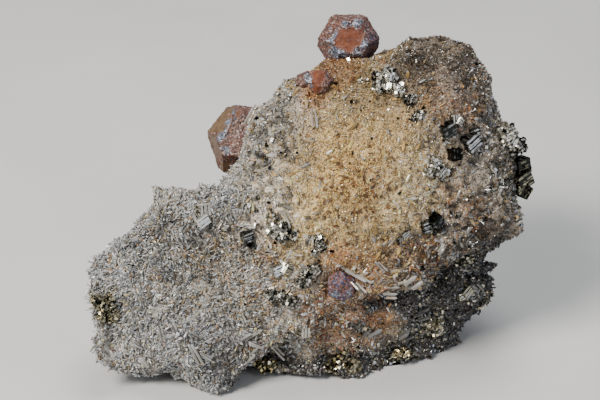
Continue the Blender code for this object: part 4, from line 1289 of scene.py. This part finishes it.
def rock_material():
    """Broken vein rock, dull: dark chips of quartz and ore, and the cloudy roots of the crust."""
    material, tree, shader = new_material("broken_vein_rock", {"Roughness": 0.7})
    tone = add_node(tree, {}, "ShaderNodeAttribute", "Color", attribute_name="tone")
    bare = point_values(tree, ["bare"])[0]
    large = patches(tree, 6, 3, 0.42, 0.58)
    small = patches(tree, 1.2, 4, 0.38, 0.62, shift=3.0)
    grey_chips = add_node(tree, {0: small, 6: "#1B1B1C", 7: "#4C4C4D"}, **COLOUR_MIX)
    brown_chips = add_node(tree, {0: small, 6: "#1C1915", 7: "#463D33"}, **COLOUR_MIX)
    chips = add_node(tree, {0: large, 6: grey_chips, 7: brown_chips}, **COLOUR_MIX)
    # Painted shade: dark spots on the skin under the crust stand for the shade in the pits between
    # the grains.
    pit_shade_noise = patches(tree, 0.8, 3, 0.34, 0.50, shift=7.0)
    painted_pit_shade = add_node(tree, {0: pit_shade_noise, 6: "#6E5F50", 7: "#EDE8E0"}, **COLOUR_MIX)
    roots = add_node(tree, {0: 1.0, 6: tone, 7: painted_pit_shade}, **COLOUR_MIX, blend_type="MULTIPLY")
    colour = add_node(tree, {0: bare, 6: roots, 7: chips}, **COLOUR_MIX)
    feed(tree, shader, {"Base Color": colour})
    return material


# %% Galena
WARM_GRAINS = ["#2A1610", "#4E3329", "#66493D", "#1C110E", "#5A2C1A", "#A58E84", "#3E2A23",
               "#7A4029"]
COLD_GRAINS = ["#39404F", "#767E8E", "#222531", "#ABAFBC", "#4C5365", "#373339"]
DULL_AND_SHADED_GRAINS = ["#1E1B22", "#4C4248", "#8A4B22", "#3C4468", "#1C1A1F", "#777084", "#7A4426"]


def grain_colours(tree, grain, colours):
    """One of the hex colours for each grain: a ramp that steps at even shares of its number."""
    output = add_node(tree, {"Fac": grain}, "ShaderNodeValToRGB", "Color")
    ramp = output.node.color_ramp
    ramp.interpolation = "CONSTANT"
    for i, colour in enumerate(colours):
        stop = ramp.elements[i] if i < 2 else ramp.elements.new(i / len(colours))
        stop.position = i / len(colours)
        stop.color = linear(colour)
    return output


def galena_material():
    """Galena under iron stain: smooth orange-brown faces, and a coat of many-coloured grains."""
    material, tree, shader = new_material("stained_galena", {"Roughness": 0.55, "IOR": 1.5})
    grain, tan, dull_and_shaded, blue, smooth_part = point_values(
        tree, ("grain", "tan", "dull_and_shaded", "blue", "smooth_part"))
    mottle = patches(tree, 1.6, 4, 0.35, 0.65)
    orange_stain = add_node(tree, {0: mottle, 6: "#5E2C15", 7: "#773F20"}, **COLOUR_MIX)
    tan_stain = add_node(tree, {0: mottle, 6: "#58432E", 7: "#70593E"}, **COLOUR_MIX)
    stain = add_node(tree, {0: tan, 6: orange_stain, 7: tan_stain}, **COLOUR_MIX)
    flecks = patches(tree, 0.6, 3, 0.56, 0.66, 0.0, 0.4, shift=5.0)
    stain = add_node(tree, {0: flecks, 6: stain, 7: "#83757A"}, **COLOUR_MIX)
    warm, cold, dark = (grain_colours(tree, grain, colours)
                        for colours in (WARM_GRAINS, COLD_GRAINS, DULL_AND_SHADED_GRAINS))
    # Dark grains where the coat is dull, and as painted shade on the top crystal's right side.
    coat = add_node(tree, {0: dull_and_shaded, 6: warm, 7: dark}, **COLOUR_MIX)
    is_blue = add_node(tree, {"Value": blue, "From Min": 0.35, "From Max": 0.6},
                       "ShaderNodeMapRange")
    coat = add_node(tree, {0: is_blue, 6: coat, 7: cold}, **COLOUR_MIX)
    colour = add_node(tree, {0: smooth_part, 6: coat, 7: stain}, **COLOUR_MIX)
    feed(tree, shader, {"Base Color": colour})
    return material


# %% Pyrite metal
def pyrite_material():
    """Pyrite: pale brassy metal, bright where it is clean, dark where it is tarnished and where a
    dark reflection is painted, with painted shade in the grooves of its steps.
    """
    material, tree, shader = new_material("striated_pyrite", {"Metallic": 1.0})
    tarnish_and_reflection, brass, groove, striped = point_values(tree, ("dark", "brass", "groove", "striped"))
    clean = add_node(tree, {0: brass, 6: "#F2F0E8", 7: "#D6C48A"}, **COLOUR_MIX)
    uneven = patches(tree, 1.5, 2, 0.35, 0.65, -0.15, 0.15)
    spread = add_node(tree, {0: tarnish_and_reflection, 1: uneven}, "ShaderNodeMath", operation="ADD")
    # Painted shade: the grooves between the steps are darkened in colour.
    painted_groove_shade = add_node(tree, {"Value": groove, "From Min": 0.35, "From Max": 0.8, "To Max": 0.9},
                     "ShaderNodeMapRange")
    dark = add_node(tree, {0: spread, 1: painted_groove_shade}, "ShaderNodeMath", operation="ADD", use_clamp=True)
    satin = add_node(tree, {"Value": striped, "To Min": 0.34, "To Max": 0.40}, "ShaderNodeMapRange")
    colour = add_node(tree, {0: dark, 6: clean, 7: "#1E1F1B"}, **COLOUR_MIX)
    roughness = add_node(tree, {0: dark, 2: satin, 3: 0.24}, "ShaderNodeMix", data_type="FLOAT")
    feed(tree, shader, {"Base Color": colour, "Roughness": roughness})
    return material


# %% Materials on the pieces
def give(material, pieces):
    """Every one of the pieces gets the material."""
    for piece in pieces:
        piece.data.materials.append(material)


give(rock_material(), [skin])
give(quartz_material(), quartz_pieces)
give(pyrite_material(), pyrite_pieces)
give(galena_material(), galena_pieces)

# %% [markdown]
# ## Floor, light and camera
# A pale floor, a large soft light from the upper left and a weak fill from the right. The camera
# stands at the viewpoint, square to the display face.

# %% Stage
def add_floor():
    """A pale square, three metres to each side."""
    mesh = bpy.data.meshes.new("floor")
    mesh.from_pydata([(-3, -3, 0), (3, -3, 0), (3, 3, 0), (-3, 3, 0)], [], [(0, 1, 2, 3)])
    floor = add_object("floor", mesh)
    material, tree, shader = new_material("pale_floor", {"Roughness": 0.7})
    cloud = patches(tree, 60, 2, 0.3, 0.7)
    colour = add_node(tree, {0: cloud, 6: "#C6C6C4", 7: "#CCCCCA"}, **COLOUR_MIX)
    feed(tree, shader, {"Base Color": colour})
    give(material, [floor])


def add_area_light(name, at, size, watts, colour):
    """A square light at a place in metres that looks at the specimen's middle."""
    light = bpy.data.lights.new(name, "AREA")
    light.size = size
    light.energy = watts
    light.color = linear(colour)[:3]
    lamp = add_object(name, light)
    lamp.location = at
    lamp.rotation_euler = (Vector((0, 0, 0.05)) - Vector(at)).to_track_quat("-Z", "Y").to_euler()


add_floor()
add_area_light("key_light", KEY_AT, 0.35, 15, "#FFFAF2")
add_area_light("fill_light", (0.8, -0.5, 0.4), 0.6, 2.5, "#E8EEFF")
add_area_light("top_light", (0.1, 0.3, 0.9), 0.4, 5, "#FFFFFF")
world = bpy.data.worlds.new("studio")
bpy.context.scene.world = world
world.use_nodes = True
feed(world.node_tree, world.node_tree.nodes["Background"], {"Color": "#C8CCD2", "Strength": 0.35})

# %% Camera
lens = bpy.data.cameras.new("camera")
lens.sensor_width = 36.0
lens.lens = lens.sensor_width * VIEW_DISTANCE / VIEW_WIDTH
lens.clip_start = 0.01
camera = add_object("camera", lens)
camera.location = tuple((ORIGIN + OUTWARD * VIEW_DISTANCE) * MM)
camera.rotation_euler = (math.pi / 2 - LEAN, 0, 0)
bpy.context.scene.camera = camera
